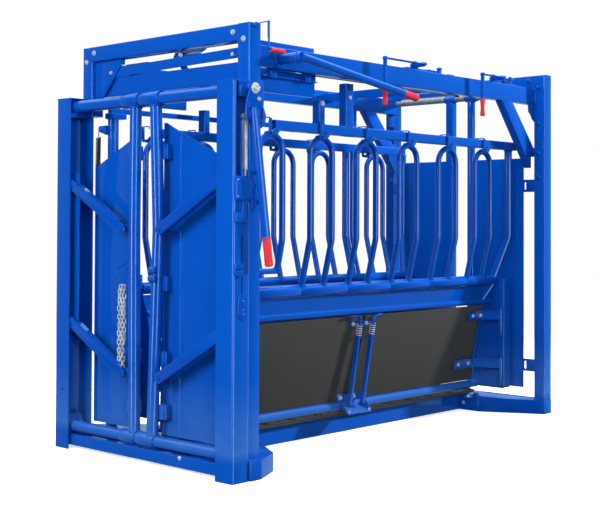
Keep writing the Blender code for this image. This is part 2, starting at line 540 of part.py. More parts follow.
for side, s in (("near", 1), ("far", -1)):
    def m(outline):
        return [(s * x, z) for x, z in outline] if s > 0 else [(-x, z) for x, z in reversed(outline)]

    plate = [(0.195, 0.150), (0.415, 0.150), (0.415, 0.800), (0.350, 0.820), (0.325, 0.790), (0.288, 0.690), (0.183, 0.190)]
    adds = [
        box(s * 0.405, s * 0.455, -0.89, 1.232, *RAIL_Z),
        box(s * 0.402, s * 0.452, -0.573, -0.530, 1.64, 1.772),
        box(s * 0.402, s * 0.452, -0.369, -0.308, 1.64, 1.872),
        pipe([(s * LOOP_X, 1.207, 1.615), (s * LOOP_X, 1.207, 1.070), (s * MID_X, 1.135, 0.815)], 0.024, 10),
        rod((s * MID_X, HEAD_Y - 0.003, MID_Z), (s * MID_X, 1.153, MID_Z), 0.0200, 12),
        rod((s * 0.300, HEAD_Y - 0.003, 0.680), (s * 0.300, 1.153, 0.680), 0.0205, 12),
        rod((s * LOW_X, HEAD_Y - 0.012, LOW_Z), (s * LOW_X, 1.165, LOW_Z), 0.0240, 12),
        prism(m([(0.3260, 0.776), (0.3350, 0.774), (0.3080, 0.690), (0.2990, 0.692)]), "y", HEAD_Y + 0.002, 1.152),
        prism(m(plate), "y", END_Y, END_Y + 0.006),
        prism(m(plate), "y", HEAD_Y - 0.006, HEAD_Y),
        box(s * 0.385, s * 0.421, 1.142, 1.213, 0.155, 0.812),
        box(s * 0.385, s * 0.421, -1.118, -1.054, 0.155, 0.812),
        # catch for the slide bolts
        prism(m([(0.2170, 0.1620), (0.2850, 0.1270), (0.2820, 0.1225), (0.2140, 0.1570)]), "y", -0.150, 0.045),
        prism(m([(0.2810, 0.1320), (0.2850, 0.1320), (0.2850, 0.1235), (0.2810, 0.1235)]), "y", -0.150, 0.045),
    ]
    if s < 0:
        adds += [
            pipe([(s * LOOP_X, 0.632, 1.615), (s * LOOP_X, 0.632, 1.070), (s * MID_X, 0.632, 0.815)], 0.0235, 10),
            rod((s * LOOP_X, 0.690, 1.600), (s * LOOP_X, 0.690, 1.600 + 0.02), 0.012, 8),
            pipe([(s * LOOP_X, 0.690, 1.615), (s * LOOP_X, 0.690, 1.070), (s * MID_X, 0.690, 0.815)], 0.0125, 8),
        ]
    sleeves = [(a - 0.0175, b + 0.022) for a, b in LOOPS[side]]
    ends = [HEAD_Y - 0.002] + [v for pair in sleeves for v in pair] + [1.151]
    for a, b in zip(ends[0::2], ends[1::2]):
        if b - a > 0.006:
            adds.append(rod((s * MID_X, a + 0.0006, MID_Z), (s * MID_X, b - 0.0006, MID_Z), 0.0310, 12))
    for hinge_y, way in HINGES:
        for low, high in KNUCKLES:
            adds.append(rod((s * KICK_HINGE_X, hinge_y, low - 0.012), (s * KICK_HINGE_X, hinge_y, high + 0.012), 0.0060, 8))
            for z in (low - 0.012, high + 0.0005):
                adds.append(box(s * 0.400, s * 0.420, hinge_y - 0.008 * way, hinge_y + 0.024 * way, z, z + 0.0115))
    node(f"wall_{side}", BLUE, adds)

    for i, (y0, y1) in enumerate(LOOPS[side], 1):
        a, b = sleeves[i - 1]
        foot = (s * (MID_X + 0.006), y1, MID_Z + 0.022)
        if i == 1:
            # the first bar's rear leg stands on a short cross bar
            foot = (s * 0.372, y1 + 0.004, 0.9155)
        path = [(s * (MID_X + 0.006), y0, MID_Z + 0.022)] + rounded([
            (s * LOOP_X, y0, 1.070), (s * LOOP_X, y0, LOOP_TOP), (s * LOOP_X, y1, LOOP_TOP), (s * LOOP_X, y1, 1.070),
        ], 0.080, 4) + [foot]
        adds = [pipe(path, LOOP_R, 6), rod((s * MID_X, a, MID_Z), (s * MID_X, b, MID_Z), 0.0310, 12)]
        if i == 1:
            adds.append(rod((s * 0.3705, y0 - 0.006, 0.915), (s * 0.3705, y1 + 0.018, 0.915), 0.0145, 8))
        node(f"drop_bar_{side}_{i}", BLUE, adds, [rod((s * MID_X, a - 0.02, MID_Z), (s * MID_X, b + 0.02, MID_Z), 0.0208, 12)])

    for which, y0, y1, hinge_y, way in (("rear", -0.042, 1.055, 1.124, 1), ("front", -0.965, -0.098, -1.036, -1)):
        slab = m([(slant(0.195), 0.195), (slant(0.195) + 0.012, 0.1925), (slant(0.655) + 0.012, 0.6525), (slant(0.655), 0.655)])
        leaf = [prism(slab, "y", y0, y1)]
        node(f"kick_door_{which}_{side}", BLACK, leaf)
        arms = []
        inner = y1 if way > 0 else y0
        for low, high in KNUCKLES:
            zt = high - 0.022
            x_in = slant(zt) + 0.0125 + GAP
            reach = inner - way * (0.130 if low > 0.4 else 0.190)
            arms.append((low, high, zt, x_in, reach))
        # the hinge strap is one bracket: two arms joined by a strip along the edge of the leaf
        strap = []
        for low, high, zt, x_in, reach in arms:
            start = x_in + 0.006
            strap += [
                beam((s * start, reach, zt - 0.020), (s * start, inner + way * 0.004, zt - 0.020), 0.005, 0.046),
                beam((s * start, inner, zt - 0.020), (s * KICK_HINGE_X, hinge_y - way * 0.002, zt - 0.020), 0.005, 0.046),
                rod((s * KICK_HINGE_X, hinge_y, low), (s * KICK_HINGE_X, hinge_y, high), 0.0110, 10),
            ]
        lo, hi = arms[1], arms[0]
        strap.append(beam((s * (lo[3] + 0.007), inner + way * 0.0, lo[2] - 0.030), (s * (hi[3] + 0.007), inner + way * 0.0, hi[2] + 0.0), 0.005, 0.012, up=(s, 0, 0)))
        holes = [rod((s * KICK_HINGE_X, hinge_y, low - 0.02), (s * KICK_HINGE_X, hinge_y, high + 0.02), 0.0068, 8) for low, high in KNUCKLES]
        node(f"kick_strap_{which}_{side}", BLUE, strap, holes)
        y = -0.113 if which == "front" else -0.004
        x_low, x_top = 0.2600, 0.3375
        node(f"slide_bolt_{which}_{side}", BLUE, [
            beam((s * x_low, y, 0.170), (s * (x_low + (x_top - x_low) * 0.7727), y, 0.527), 0.024, 0.013, up=(0, 1, 0)),
            pipe(rounded([(s * (x_low + (x_top - x_low) * 0.73), y, 0.5073), (s * x_top, y, 0.632), (s * (x_top + 0.012), y + (0.03 if which == "rear" else -0.03), 0.655)], 0.01, 2), 0.0080, 8),
        ])

# ---- tailgate leaves -----------------------------------------------------------------------------------------------------
node("tail_door_left", BLUE, [
    box(-0.0825, -0.0305, DOOR_Y - 0.0245, DOOR_Y + 0.0245, 0.153, 1.936),
    box(-0.441, -0.080, DOOR_Y - 0.0015, DOOR_Y + 0.0015, 0.153, 1.554),
    box(-0.441, -0.436, DOOR_Y - 0.010, DOOR_Y + 0.001, 0.153, 1.554),
    rod((-0.1000, DOOR_Y, TRACK_Z), (-0.0200, DOOR_Y, TRACK_Z), 0.0245, 16),
], [rod((-0.13, DOOR_Y, TRACK_Z), (0.0, DOOR_Y, TRACK_Z), TRACK_R + 0.0007, 16)])
node("tail_door_right", BLUE, [
    rod((0.099, DOOR_Y, 0.153), (0.099, DOOR_Y, 1.936), 0.0245, 16),
    box(0.103, 0.487, DOOR_Y - 0.0015, DOOR_Y + 0.0015, 0.153, 1.554),
    box(0.482, 0.487, DOOR_Y - 0.010, DOOR_Y + 0.001, 0.153, 1.554),
    rod((0.0600, DOOR_Y, TRACK_Z), (0.1400, DOOR_Y, TRACK_Z), 0.0245, 16),
], [rod((0.03, DOOR_Y, TRACK_Z), (0.17, DOOR_Y, TRACK_Z), TRACK_R + 0.0007, 16)])

# ---- each moving piece hangs on an empty that stands on its joint's axis ------------------------------------------------------
def hang(axis_name, at, names):
    empty = bpy.data.objects.new(axis_name, None)
    empty.location = at
    empty.empty_display_size = 0.05
    collection.objects.link(empty)
    bpy.context.view_layer.update()
    for name in names:
        piece = bpy.data.objects[name]
        piece.parent = empty
        piece.matrix_parent_inverse = empty.matrix_world.inverted()
    return empty


for side, s in (("right", 1), ("left", -1)):
    hang(f"slide_gate_{side}", (s * 0.09, GUIDE_Y, 1.0), [f"neck_bar_{side}", f"head_panel_{side}"])
    hang(f"slide_slider_{side}", (s * ARM_PIVOT_X, -1.32, 1.0), [f"slider_{side}"])
    for level, z in zip(("upper", "lower"), ARM_Z):
        hang(f"pin_{level}_{side}", (s * ARM_IN_X, -1.34, z - ARM_DROP), [f"arm_{level}_{side}"])
hang("pin_headgate_lever", (LEVER_X, PIV_Y, PIV_Z), ["headgate_lever", "headgate_grip"])
hang("slide_friction_bar", (0.644, -1.282, 1.4), ["friction_bar"])
hang("pin_latch_cam", (0.66, -1.242, 1.378), ["latch_cam"])
hang("pin_trip_lever", (0.628, -1.205, 2.050), ["trip_lever", "trip_grip"])
hang("shaft_squeeze", (SQ_X, SHAFT_Y, SHAFT_Z), ["squeeze_lever", "squeeze_grip"])
for name, hub_y in (("front", 0.100), ("rear", 0.859)):
    hang(f"pin_tail_handle_{name}", (0.525, hub_y, HZ), [f"tail_handle_{name}", f"tail_grip_{name}"])
for side, s in (("near", 1), ("far", -1)):
    wall = hang(f"hinge_wall_{side}", (s * LOW_X, 0, LOW_Z), [f"wall_{side}"])
    names = []
    for i in range(1, 7):
        names.append(hang(f"hinge_drop_bar_{side}_{i}", (s * MID_X, sum(LOOPS[side][i - 1]) / 2, MID_Z), [f"drop_bar_{side}_{i}"]))
    for which, hinge_y in (("rear", 1.124), ("front", -1.036)):
        names.append(hang(f"hinge_kick_{which}_{side}", (s * KICK_HINGE_X, hinge_y, 0.4),
                          [f"kick_door_{which}_{side}", f"kick_strap_{which}_{side}", f"slide_bolt_{which}_{side}"]))
    for empty in names:
        empty.parent = wall
        empty.matrix_parent_inverse = wall.matrix_world.inverted()
for side, x in (("left", -0.0565), ("right", 0.099)):
    hang(f"slide_tail_{side}", (x, DOOR_Y, TRACK_Z), [f"tail_door_{side}"])
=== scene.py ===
"""Looks of the cattle crush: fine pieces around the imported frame, procedural finishes, studio floor and light."""
import math
import random

import bmesh
import bpy
from mathutils import Matrix, Vector


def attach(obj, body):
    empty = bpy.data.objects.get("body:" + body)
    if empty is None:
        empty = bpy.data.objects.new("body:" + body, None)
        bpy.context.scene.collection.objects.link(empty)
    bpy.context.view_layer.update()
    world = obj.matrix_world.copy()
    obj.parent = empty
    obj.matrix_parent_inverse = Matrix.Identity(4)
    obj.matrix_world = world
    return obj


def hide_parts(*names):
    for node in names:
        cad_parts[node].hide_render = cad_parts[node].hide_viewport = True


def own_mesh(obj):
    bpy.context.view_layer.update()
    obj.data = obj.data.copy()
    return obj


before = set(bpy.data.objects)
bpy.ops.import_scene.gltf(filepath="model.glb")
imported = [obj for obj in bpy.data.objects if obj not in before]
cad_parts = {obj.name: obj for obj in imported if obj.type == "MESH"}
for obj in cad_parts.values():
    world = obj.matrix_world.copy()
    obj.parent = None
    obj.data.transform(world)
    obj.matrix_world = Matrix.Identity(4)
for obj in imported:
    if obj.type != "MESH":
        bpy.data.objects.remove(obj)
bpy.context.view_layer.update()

scene = bpy.context.scene
V = Vector

# ---------------------------------------------------------------- camera
cam_data = bpy.data.cameras.new("camera")
cam_data.lens = 70.903
cam_data.sensor_width = 36
cam_data.sensor_fit = "HORIZONTAL"
cam_data.shift_x = 0.0
cam_data.shift_y = -0.0855
cam_data.clip_end = 200
camera = bpy.data.objects.new("camera", cam_data)
scene.collection.objects.link(camera)
C, F = V((4.4152, -4.9752, 1.1472)), V((-0.68095, 0.73210, 0.01829))
R, U = V((0.73227, 0.68101, 0.00378)), V((0.00969, -0.01597, 0.99983))
camera.matrix_world = Matrix((
    (R.x, U.x, -F.x, C.x), (R.y, U.y, -F.y, C.y), (R.z, U.z, -F.z, C.z), (0, 0, 0, 1)))
scene.camera = camera

# ---------------------------------------------------------------- shapes, all in world metres
class Piece:
    """Shapes gathered into one mesh object."""

    def __init__(self, name, body, slot, sharp=38):
        self.name, self.body, self.slot, self.sharp = name, body, slot, sharp
        self.bm = bmesh.new()

    def take(self, other):
        mesh = bpy.data.meshes.new("t")
        bmesh.ops.recalc_face_normals(other, faces=other.faces)
        other.to_mesh(mesh)
        other.free()
        self.bm.from_mesh(mesh)
        bpy.data.meshes.remove(mesh)
        return self

    def done(self, *nodes, mat=None, cut=None):
        mesh = bpy.data.meshes.new(self.name)
        self.bm.to_mesh(mesh)
        self.bm.free()
        obj = bpy.data.objects.new(self.name, mesh)
        scene.collection.objects.link(obj)
        if cut:
            carve(obj, cut)
        mesh = obj.data
        mesh.shade_smooth()
        mesh.set_sharp_from_angle(angle=math.radians(self.sharp))
        mesh.materials.clear()
        mesh.materials.append(mat or MATS[self.slot])
        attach(obj, self.body)
        if nodes:
            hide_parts(*nodes)
        return obj


def carve(obj, cutters):
    """Cuts the shapes out of obj."""
    for bm in cutters:
        mesh = bpy.data.meshes.new("cutter")
        bmesh.ops.recalc_face_normals(bm, faces=bm.faces)
        bm.to_mesh(mesh)
        bm.free()
        tool = bpy.data.objects.new("cutter", mesh)
        scene.collection.objects.link(tool)
        mod = obj.modifiers.new("cut", "BOOLEAN")
        mod.operation, mod.solver, mod.object = "DIFFERENCE", "EXACT", tool
        bpy.context.view_layer.update()
        graph = bpy.context.evaluated_depsgraph_get()
        new = bpy.data.meshes.new_from_object(obj.evaluated_get(graph))
        obj.modifiers.clear()
        old = obj.data
        obj.data = new
        bpy.data.meshes.remove(old)
        bpy.data.objects.remove(tool, do_unlink=True)
        bpy.data.meshes.remove(mesh)


def rounded(points, radius, steps=6):
    """The path with its inner corners turned into arcs."""
    points = [V(p) for p in points]
    out = [points[0]]
    for before, at, after in zip(points, points[1:], points[2:]):
        one, two = (before - at).normalized(), (after - at).normalized()
        half = one.angle(two) / 2
        if half > math.pi / 2 - 0.01:
            out.append(at)
            continue
        cut = min(radius / math.tan(half), (before - at).length * 0.498, (after - at).length * 0.498)
        real = cut * math.tan(half)
        centre = at + (one + two).normalized() * (real / math.sin(half))
        first, last = at + one * cut - centre, at + two * cut - centre
        turn = math.pi - 2 * half
        for i in range(steps + 1):
            t = i / steps
            out.append(centre + first * (math.sin((1 - t) * turn) / math.sin(turn)) + last * (math.sin(t * turn) / math.sin(turn)))
    out.append(points[-1])
    return out


def frames(points):
    """Tangent, side and up at each point of a path, without twist."""
    points = [V(p) for p in points]
    n = len(points)
    tangents = []
    for i in range(n):
        a = points[max(i - 1, 0)]
        b = points[min(i + 1, n - 1)]
        if 0 < i < n - 1:
            d = (points[i] - a).normalized() + (b - points[i]).normalized()
        else:
            d = b - a
        tangents.append(d.normalized())
    t0 = tangents[0]
    side = t0.cross(V((0, 0, 1)) if abs(t0.z) < 0.9 else V((0, 1, 0))).normalized()
    out = []
    for i in range(n):
        t = tangents[i]
        side = (side - t * side.dot(t)).normalized()
        out.append((t, side, side.cross(t)))
    return out


def tube(points, r, seg=28, wall=0.0, radii=None, cap=True):
    """A round tube through points. wall > 0 leaves both ends open with that thickness."""
    points = [V(p) for p in points]
    fr = frames(points)
    bm = bmesh.new()
    rings = []
    for i, (p, (t, a, b)) in enumerate(zip(points, fr)):
        stretch = 1.0
        if 0 < i < len(points) - 1:
            d = (points[i] - points[i - 1]).normalized()
            stretch = 1.0 / max(0.6, d.dot(t))
        rr = radii[i] if radii else r
        rings.append([bm.verts.new(p + (a * math.cos(k * math.tau / seg) + b * math.sin(k * math.tau / seg)) * rr * (stretch if stretch < 1.02 else 1.0))
                      for k in range(seg)])
    for one, two in zip(rings, rings[1:]):
        for k in range(seg):
            bm.faces.new((one[k], one[(k + 1) % seg], two[(k + 1) % seg], two[k]))
    if wall > 0:
        inner = []
        for i, (p, (t, a, b)) in enumerate(zip(points, fr)):
            inner.append([bm.verts.new(p + (a * math.cos(k * math.tau / seg) + b * math.sin(k * math.tau / seg)) * ((radii[i] if radii else r) - wall))
                          for k in range(seg)])
        for one, two in zip(inner, inner[1:]):
            for k in range(seg):
                bm.faces.new((one[(k + 1) % seg], one[k], two[k], two[(k + 1) % seg]))
        for ring, core in ((rings[0], inner[0]), (rings[-1], inner[-1])):
            for k in range(seg):
                bm.faces.new((ring[k], ring[(k + 1) % seg], core[(k + 1) % seg], core[k]))
    elif cap:
        bm.faces.new(rings[0])
        bm.faces.new(rings[-1])
    return bm


def lathe(a, b, profile, seg=32):
    """A turned shape on the line a-b. profile is (distance along from a, radius); it starts and ends at radius 0 for a closed end."""
    a, b = V(a), V(b)
    t = (b - a).normalized()
    side = t.cross(V((0, 0, 1)) if abs(t.z) < 0.9 else V((0, 1, 0))).normalized()
    up = side.cross(t)
    bm = bmesh.new()
    rings = []
    for d, r in profile:
        centre = a + t * d
        if r < 1e-6:
            rings.append([bm.verts.new(centre)])
        else:
            rings.append([bm.verts.new(centre + (side * math.cos(k * math.tau / seg) + up * math.sin(k * math.tau / seg)) * r) for k in range(seg)])
    for one, two in zip(rings, rings[1:]):
        for k in range(seg):
            m = (k + 1) % seg
            if len(one) == 1 and len(two) > 1:
                bm.faces.new((one[0], two[m], two[k]))
            elif len(two) == 1 and len(one) > 1:
                bm.faces.new((one[k], one[m], two[0]))
            elif len(one) > 1:
                bm.faces.new((one[k], one[m], two[m], two[k]))
    for ring in (rings[0], rings[-1]):
        if len(ring) > 1:
            bm.faces.new(ring)
    return bm


def disc(a, b, r, edge=0.001, seg=32):
    """A short turned disc from a to b with eased edges."""
    length = (V(b) - V(a)).length
    e = min(edge, length * 0.3, r * 0.3)
    return lathe(a, b, [(0, 0), (0, r - e), (e * 0.3, r - e * 0.3), (e, r), (length - e, r), (length - e * 0.3, r - e * 0.3), (length, r - e), (length, 0)], seg)


def ring(a, b, r, core, edge=0.0012, seg=40):
    """A sleeve: a short thick-walled tube with eased edges."""
    length = (V(b) - V(a)).length
    e = edge
    profile = [(e, core), (0, core + e * 0.5), (0, r - e), (e * 0.3, r - e * 0.3), (e, r), (length - e, r), (length - e * 0.3, r - e * 0.3),
               (length, r - e), (length, core + e * 0.5), (length - e, core)]
    a, b = V(a), V(b)
    t = (b - a).normalized()
    side = t.cross(V((0, 0, 1)) if abs(t.z) < 0.9 else V((0, 1, 0))).normalized()
    up = side.cross(t)
    bm = bmesh.new()
    rings = [[bm.verts.new(a + t * d + (side * math.cos(k * math.tau / seg) + up * math.sin(k * math.tau / seg)) * rr) for k in range(seg)] for d, rr in profile]
    for one, two in zip(rings, rings[1:] + rings[:1]):
        for k in range(seg):
            m = (k + 1) % seg
            bm.faces.new((one[k], one[m], two[m], two[k]))
    return bm


def box(x0, x1, y0, y1, z0, z1, bevel=0.0015, steps=2):
    """A box with eased edges."""
    bm = bmesh.new()
    size = Matrix.Diagonal((abs(x1 - x0), abs(y1 - y0), abs(z1 - z0), 1))
    mid = Matrix.Translation(((x0 + x1) / 2, (y0 + y1) / 2, (z0 + z1) / 2))
    bmesh.ops.create_cube(bm, size=1, matrix=mid @ size)
    least = min(abs(x1 - x0), abs(y1 - y0), abs(z1 - z0))
    b = min(bevel, least * 0.3)
    if b > 0:
        bmesh.ops.bevel(bm, geom=list(bm.edges), offset=b, segments=steps, profile=0.5, affect="EDGES")
    return bm


def corners(width, height, radius, steps=5):
    """A rectangle outline with round corners."""
    out = []
    for cx, cy, start in ((1, 1, 0), (-1, 1, 90), (-1, -1, 180), (1, -1, 270)):
        for i in range(steps + 1):
            a = math.radians(start + 90 * i / steps)
            out.append(((width / 2 - radius) * cx + radius * math.cos(a), (height / 2 - radius) * cy + radius * math.sin(a)))
    return out


def bar(a, b, width, height, up=(0, 0, 1), radius=0.005, steps=4, wall=0.0, end=0.0):
    """A rectangular tube or flat from a to b with round long edges. wall opens the ends, end eases them."""
    a, b = V(a), V(b)
    along = (b - a).normalized()
    side = along.cross(V(up)).normalized()
    top = side.cross(along)
    bm = bmesh.new()
    outline = corners(width, height, radius, steps)

    def loop(at, points):
        return [bm.verts.new(at + side * x + top * y) for x, y in points]

    def skin(one, two):
        n = len(one)
        for k in range(n):
            bm.faces.new((one[k], one[(k + 1) % n], two[(k + 1) % n], two[k]))

    if end > 0 and wall == 0:
        small = corners(width - 2 * end, height - 2 * end, max(radius - end, 0.0002), steps)
        loops = [loop(a, small), loop(a + along * end, outline), loop(b - along * end, outline), loop(b, small)]
    else:
        loops = [loop(a, outline), loop(b, outline)]
    for one, two in zip(loops, loops[1:]):
        skin(one, two)
    if wall > 0:
        core = corners(width - 2 * wall, height - 2 * wall, max(radius - wall, 0.0005), steps)
        first, last = loop(a, core), loop(b, core)
        skin(last, first)
        skin(first, loops[0])
        skin(loops[-1], last)
    else:
        bm.faces.new(loops[0])
        bm.faces.new(loops[-1])
    return bm


def trim(bm, co, no):
    """Cuts bm by a plane, drops what is on the side of no, and closes the cut."""
    geom = list(bm.verts) + list(bm.edges) + list(bm.faces)
    cut = bmesh.ops.bisect_plane(bm, geom=geom, dist=1e-6, plane_co=V(co), plane_no=V(no), clear_outer=True)
    edges = [e for e in cut["geom_cut"] if isinstance(e, bmesh.types.BMEdge)]
    bmesh.ops.holes_fill(bm, edges=edges, sides=0)
    return bm


AXES = {"z": ((1, 0, 0), (0, 1, 0), (0, 0, 1)), "x": ((0, 1, 0), (0, 0, 1), (1, 0, 0)), "y": ((1, 0, 0), (0, 0, 1), (0, -1, 0))}


def plate(outline, axis, low, high, bevel=0.0008, holes=()):
    """A flat outline, (y, z) for x, (x, z) for y or (x, y) for z, given thickness and eased edges, with holes as outlines."""
    curve = bpy.data.curves.new("t", "CURVE")
    curve.dimensions = "2D"
    curve.fill_mode = "BOTH"
    b = min(bevel, abs(high - low) * 0.3)
    curve.extrude = abs(high - low) / 2 - b
    curve.bevel_depth = b
    curve.bevel_resolution = 1
    curve.offset = -b
    for loop in (outline, *holes):
        spline = curve.splines.new("POLY")
        spline.points.add(len(loop) - 1)
        for point, at in zip(spline.points, loop):
            point.co = (at[0], at[1], 0, 1)
        spline.use_cyclic_u = True
    holder = bpy.data.objects.new("t", curve)
    scene.collection.objects.link(holder)
    middle = (low + high) / 2
    cols = AXES[axis]
    place = {"z": (0, 0, middle), "x": (middle, 0, 0), "y": (0, middle, 0)}[axis]
    matrix = Matrix([[cols[0][i], cols[1][i], cols[2][i], place[i]] for i in range(3)] + [[0, 0, 0, 1]])
    bpy.context.view_layer.update()
    graph = bpy.context.evaluated_depsgraph_get()
    mesh = bpy.data.meshes.new_from_object(holder.evaluated_get(graph))
    bm = bmesh.new()
    bm.from_mesh(mesh)
    bm.transform(matrix)
    bpy.data.meshes.remove(mesh)
    bpy.data.objects.remove(holder, do_unlink=True)
    bpy.data.curves.remove(curve)
    bmesh.ops.remove_doubles(bm, verts=bm.verts, dist=0.00001)
    return bm


def prism(outline, axis, low, high, bevel=0.0, steps=2):
    """A simple extrusion of an outline, with all edges eased if asked."""
    cols = [V(c) for c in AXES[axis]]
    bm = bmesh.new()
    lo = [bm.verts.new(cols[0] * p[0] + cols[1] * p[1] + V({"z": (0, 0, low), "x": (low, 0, 0), "y": (0, low, 0)}[axis])) for p in outline]
    hi = [bm.verts.new(cols[0] * p[0] + cols[1] * p[1] + V({"z": (0, 0, high), "x": (high, 0, 0), "y": (0, high, 0)}[axis])) for p in outline]
    n = len(outline)
    for k in range(n):
        bm.faces.new((lo[k], lo[(k + 1) % n], hi[(k + 1) % n], hi[k]))
    bm.faces.new(lo)
    bm.faces.new(hi)
    bmesh.ops.recalc_face_normals(bm, faces=bm.faces)
    if bevel > 0:
        bmesh.ops.bevel(bm, geom=list(bm.edges), offset=bevel, segments=steps, profile=0.5, affect="EDGES")
    return bm


def folded(path, thick, radius, axis, low, high, steps=5):
    """Bent sheet metal: the open path in the plane across axis, with thickness, round bends, pulled from low to high."""
    pts = [V((p[0], p[1], 0)) for p in path]
    pts = rounded(pts, radius, steps) if len(pts) > 2 else pts
    n = len(pts)
    left, right = [], []
    for i, p in enumerate(pts):
        a, b = pts[max(i - 1, 0)], pts[min(i + 1, n - 1)]
        if 0 < i < n - 1:
            d = ((p - a).normalized() + (b - p).normalized()).normalized()
            k = 1 / max(0.5, d.dot((b - p).normalized()))
        else:
            d, k = (b - a).normalized(), 1
        normal = V((-d.y, d.x, 0)) * thick / 2 * k
        left.append((p + normal)[:2])
        right.append((p - normal)[:2])
    return prism(left + right[::-1], axis, low, high)


def stadium(centre, length, width, angle=90.0, steps=10):
    r, a = width / 2, math.radians(angle)
    half = max(length / 2 - r, 0)
    along = V((math.cos(a), math.sin(a)))
    out = []
    for sign in (1, -1):
        for i in range(steps + 1):
            t = a + math.pi * (i / steps - 0.5) + (0 if sign > 0 else math.pi)
            out.append(tuple(V(centre) + along * half * sign + V((math.cos(t), math.sin(t))) * r))
    return out


def circle(centre, r, steps=20):
    return [(centre[0] + r * math.cos(i * math.tau / steps), centre[1] + r * math.sin(i * math.tau / steps)) for i in range(steps)]


def turn_to(direction):
    return V(direction).normalized().to_track_quat("Z", "Y").to_matrix().to_4x4()


def hexbolt(at, direction, size=0.016, head=0.007, washer=0.0125, turn=0.3):
    """A hex head with chamfered corners on a washer, standing on a face at `at`."""
    bm = bmesh.new()
    rw = washer
    place = Matrix.Translation(V(at)) @ turn_to(direction)
    base = 0.0
    if rw:
        sub = disc((0, 0, -0.0005), (0, 0, 0.002), rw, 0.0005, 24)
        mesh = bpy.data.meshes.new("t"); sub.to_mesh(mesh); sub.free()
        bm.from_mesh(mesh); bpy.data.meshes.remove(mesh)
        base = 0.0019
    r = size / 2 / math.cos(math.pi / 6)
    rows = []
    for z, k in ((base - 0.0004, 1.0), (base + head * 0.80, 1.0), (base + head, 0.86)):
        rows.append([bm.verts.new((r * k * math.cos(i * math.pi / 3 + turn), r * k * math.sin(i * math.pi / 3 + turn), z)) for i in range(6)])
    top = [bm.verts.new((size / 2 * 0.70 * math.cos(i * math.tau / 18 + turn), size / 2 * 0.70 * math.sin(i * math.tau / 18 + turn), base + head)) for i in range(18)]
    dip = [bm.verts.new((size / 2 * 0.55 * math.cos(i * math.tau / 18 + turn), size / 2 * 0.55 * math.sin(i * math.tau / 18 + turn), base + head * 0.93)) for i in range(18)]
    for one, two in zip(rows, rows[1:]):
        for k in range(6):
            bm.faces.new((one[k], one[(k + 1) % 6], two[(k + 1) % 6], two[k]))
    bm.faces.new(rows[0])
    outer = rows[-1]
    for k in range(6):
        seg = [top[(k * 3 + j) % 18] for j in range(4)]
        bm.faces.new((outer[k], outer[(k + 1) % 6], seg[3], seg[2], seg[1], seg[0]))
    for k in range(18):
        bm.faces.new((top[k], top[(k + 1) % 18], dip[(k + 1) % 18], dip[k]))
    bm.faces.new(dip)
    bm.transform(place)
    return bm


def dome(at, direction, r=0.011, h=0.006, washer=0.0):
    """A round carriage-bolt head."""
    d = V(direction).normalized()
    a = V(at) - d * 0.0005
    prof = [(0, 0)]
    base = 0.0
    if washer:
        prof += [(0, washer), (0.0018, washer), (0.0022, washer - 0.0008), (0.0022, r)]
        base = 0.0022
    else:
        prof.append((0, r))
    for i in range(1, 7):
        t = i / 6 * math.pi / 2
        prof.append((base + h * math.sin(t), r * math.cos(t)))
    prof[-1] = (base + h, 0)
    return lathe(a, a + d, prof, 24)


def nut(at, direction, size=0.016, height=0.010, bolt=0.005, stick=0.006):
    """A hex nut with the bolt's end standing out of it."""
    bm = hexbolt(at, direction, size, height, size * 0.72)
    d = V(direction).normalized()
    sub = disc(V(at) + d * height * 0.6, V(at) + d * (height + 0.002 + stick), bolt, 0.0008, 20)
    mesh = bpy.data.meshes.new("t"); sub.to_mesh(mesh); sub.free()
    bm.from_mesh(mesh); bpy.data.meshes.remove(mesh)
    return bm


def helix(a, b, r, wire, turns, seg=10, per=18, ends=0.08):
    """A coil spring from a to b, wound evenly to its ends; the ends argument is not used."""
    a, b = V(a), V(b)
    t = (b - a).normalized()
    side = t.cross(V((0, 0, 1)) if abs(t.z) < 0.9 else V((0, 1, 0))).normalized()
    up = side.cross(t)
    pts = []
    n = int(turns * per)
    for i in range(n + 1):
        f = i / n
        ang = f * turns * math.tau
        pts.append(a + (b - a) * f + (side * math.cos(ang) + up * math.sin(ang)) * r)
    return tube(pts, wire, seg)


def weld(points, r=0.0028, step=0.0042, seed=1):
    """A rippled weld bead along a path."""
    rnd = random.Random(seed)
    points = [V(p) for p in points]
    dense, radii = [], []
    for p, q in zip(points, points[1:]):
        n = max(2, int((q - p).length / (step / 3)))
        for i in range(n):
            dense.append(p + (q - p) * (i / n) + V((rnd.uniform(-1, 1), rnd.uniform(-1, 1), rnd.uniform(-1, 1))) * r * 0.10)
            radii.append(r * (0.86 + 0.22 * abs(math.sin(len(radii) * math.pi / 3)) + rnd.uniform(-0.05, 0.05)))
    dense.append(points[-1])
    radii.append(r * 0.8)
    radii[0] = r * 0.8
    return tube(dense, r, 10, radii=radii)


def weld_ring(centre, axis, radius, r=0.0026, seed=2, part=1.0, start=0.0):
    axis = V(axis).normalized()
    side = axis.cross(V((0, 0, 1)) if abs(axis.z) < 0.9 else V((0, 1, 0))).normalized()
    up = side.cross(axis)
    n = 40
    pts = [V(centre) + (side * math.cos(start + part * i / n * math.tau) + up * math.sin(start + part * i / n * math.tau)) * radius for i in range(n + 1)]
    return weld(pts, r, seed=seed)


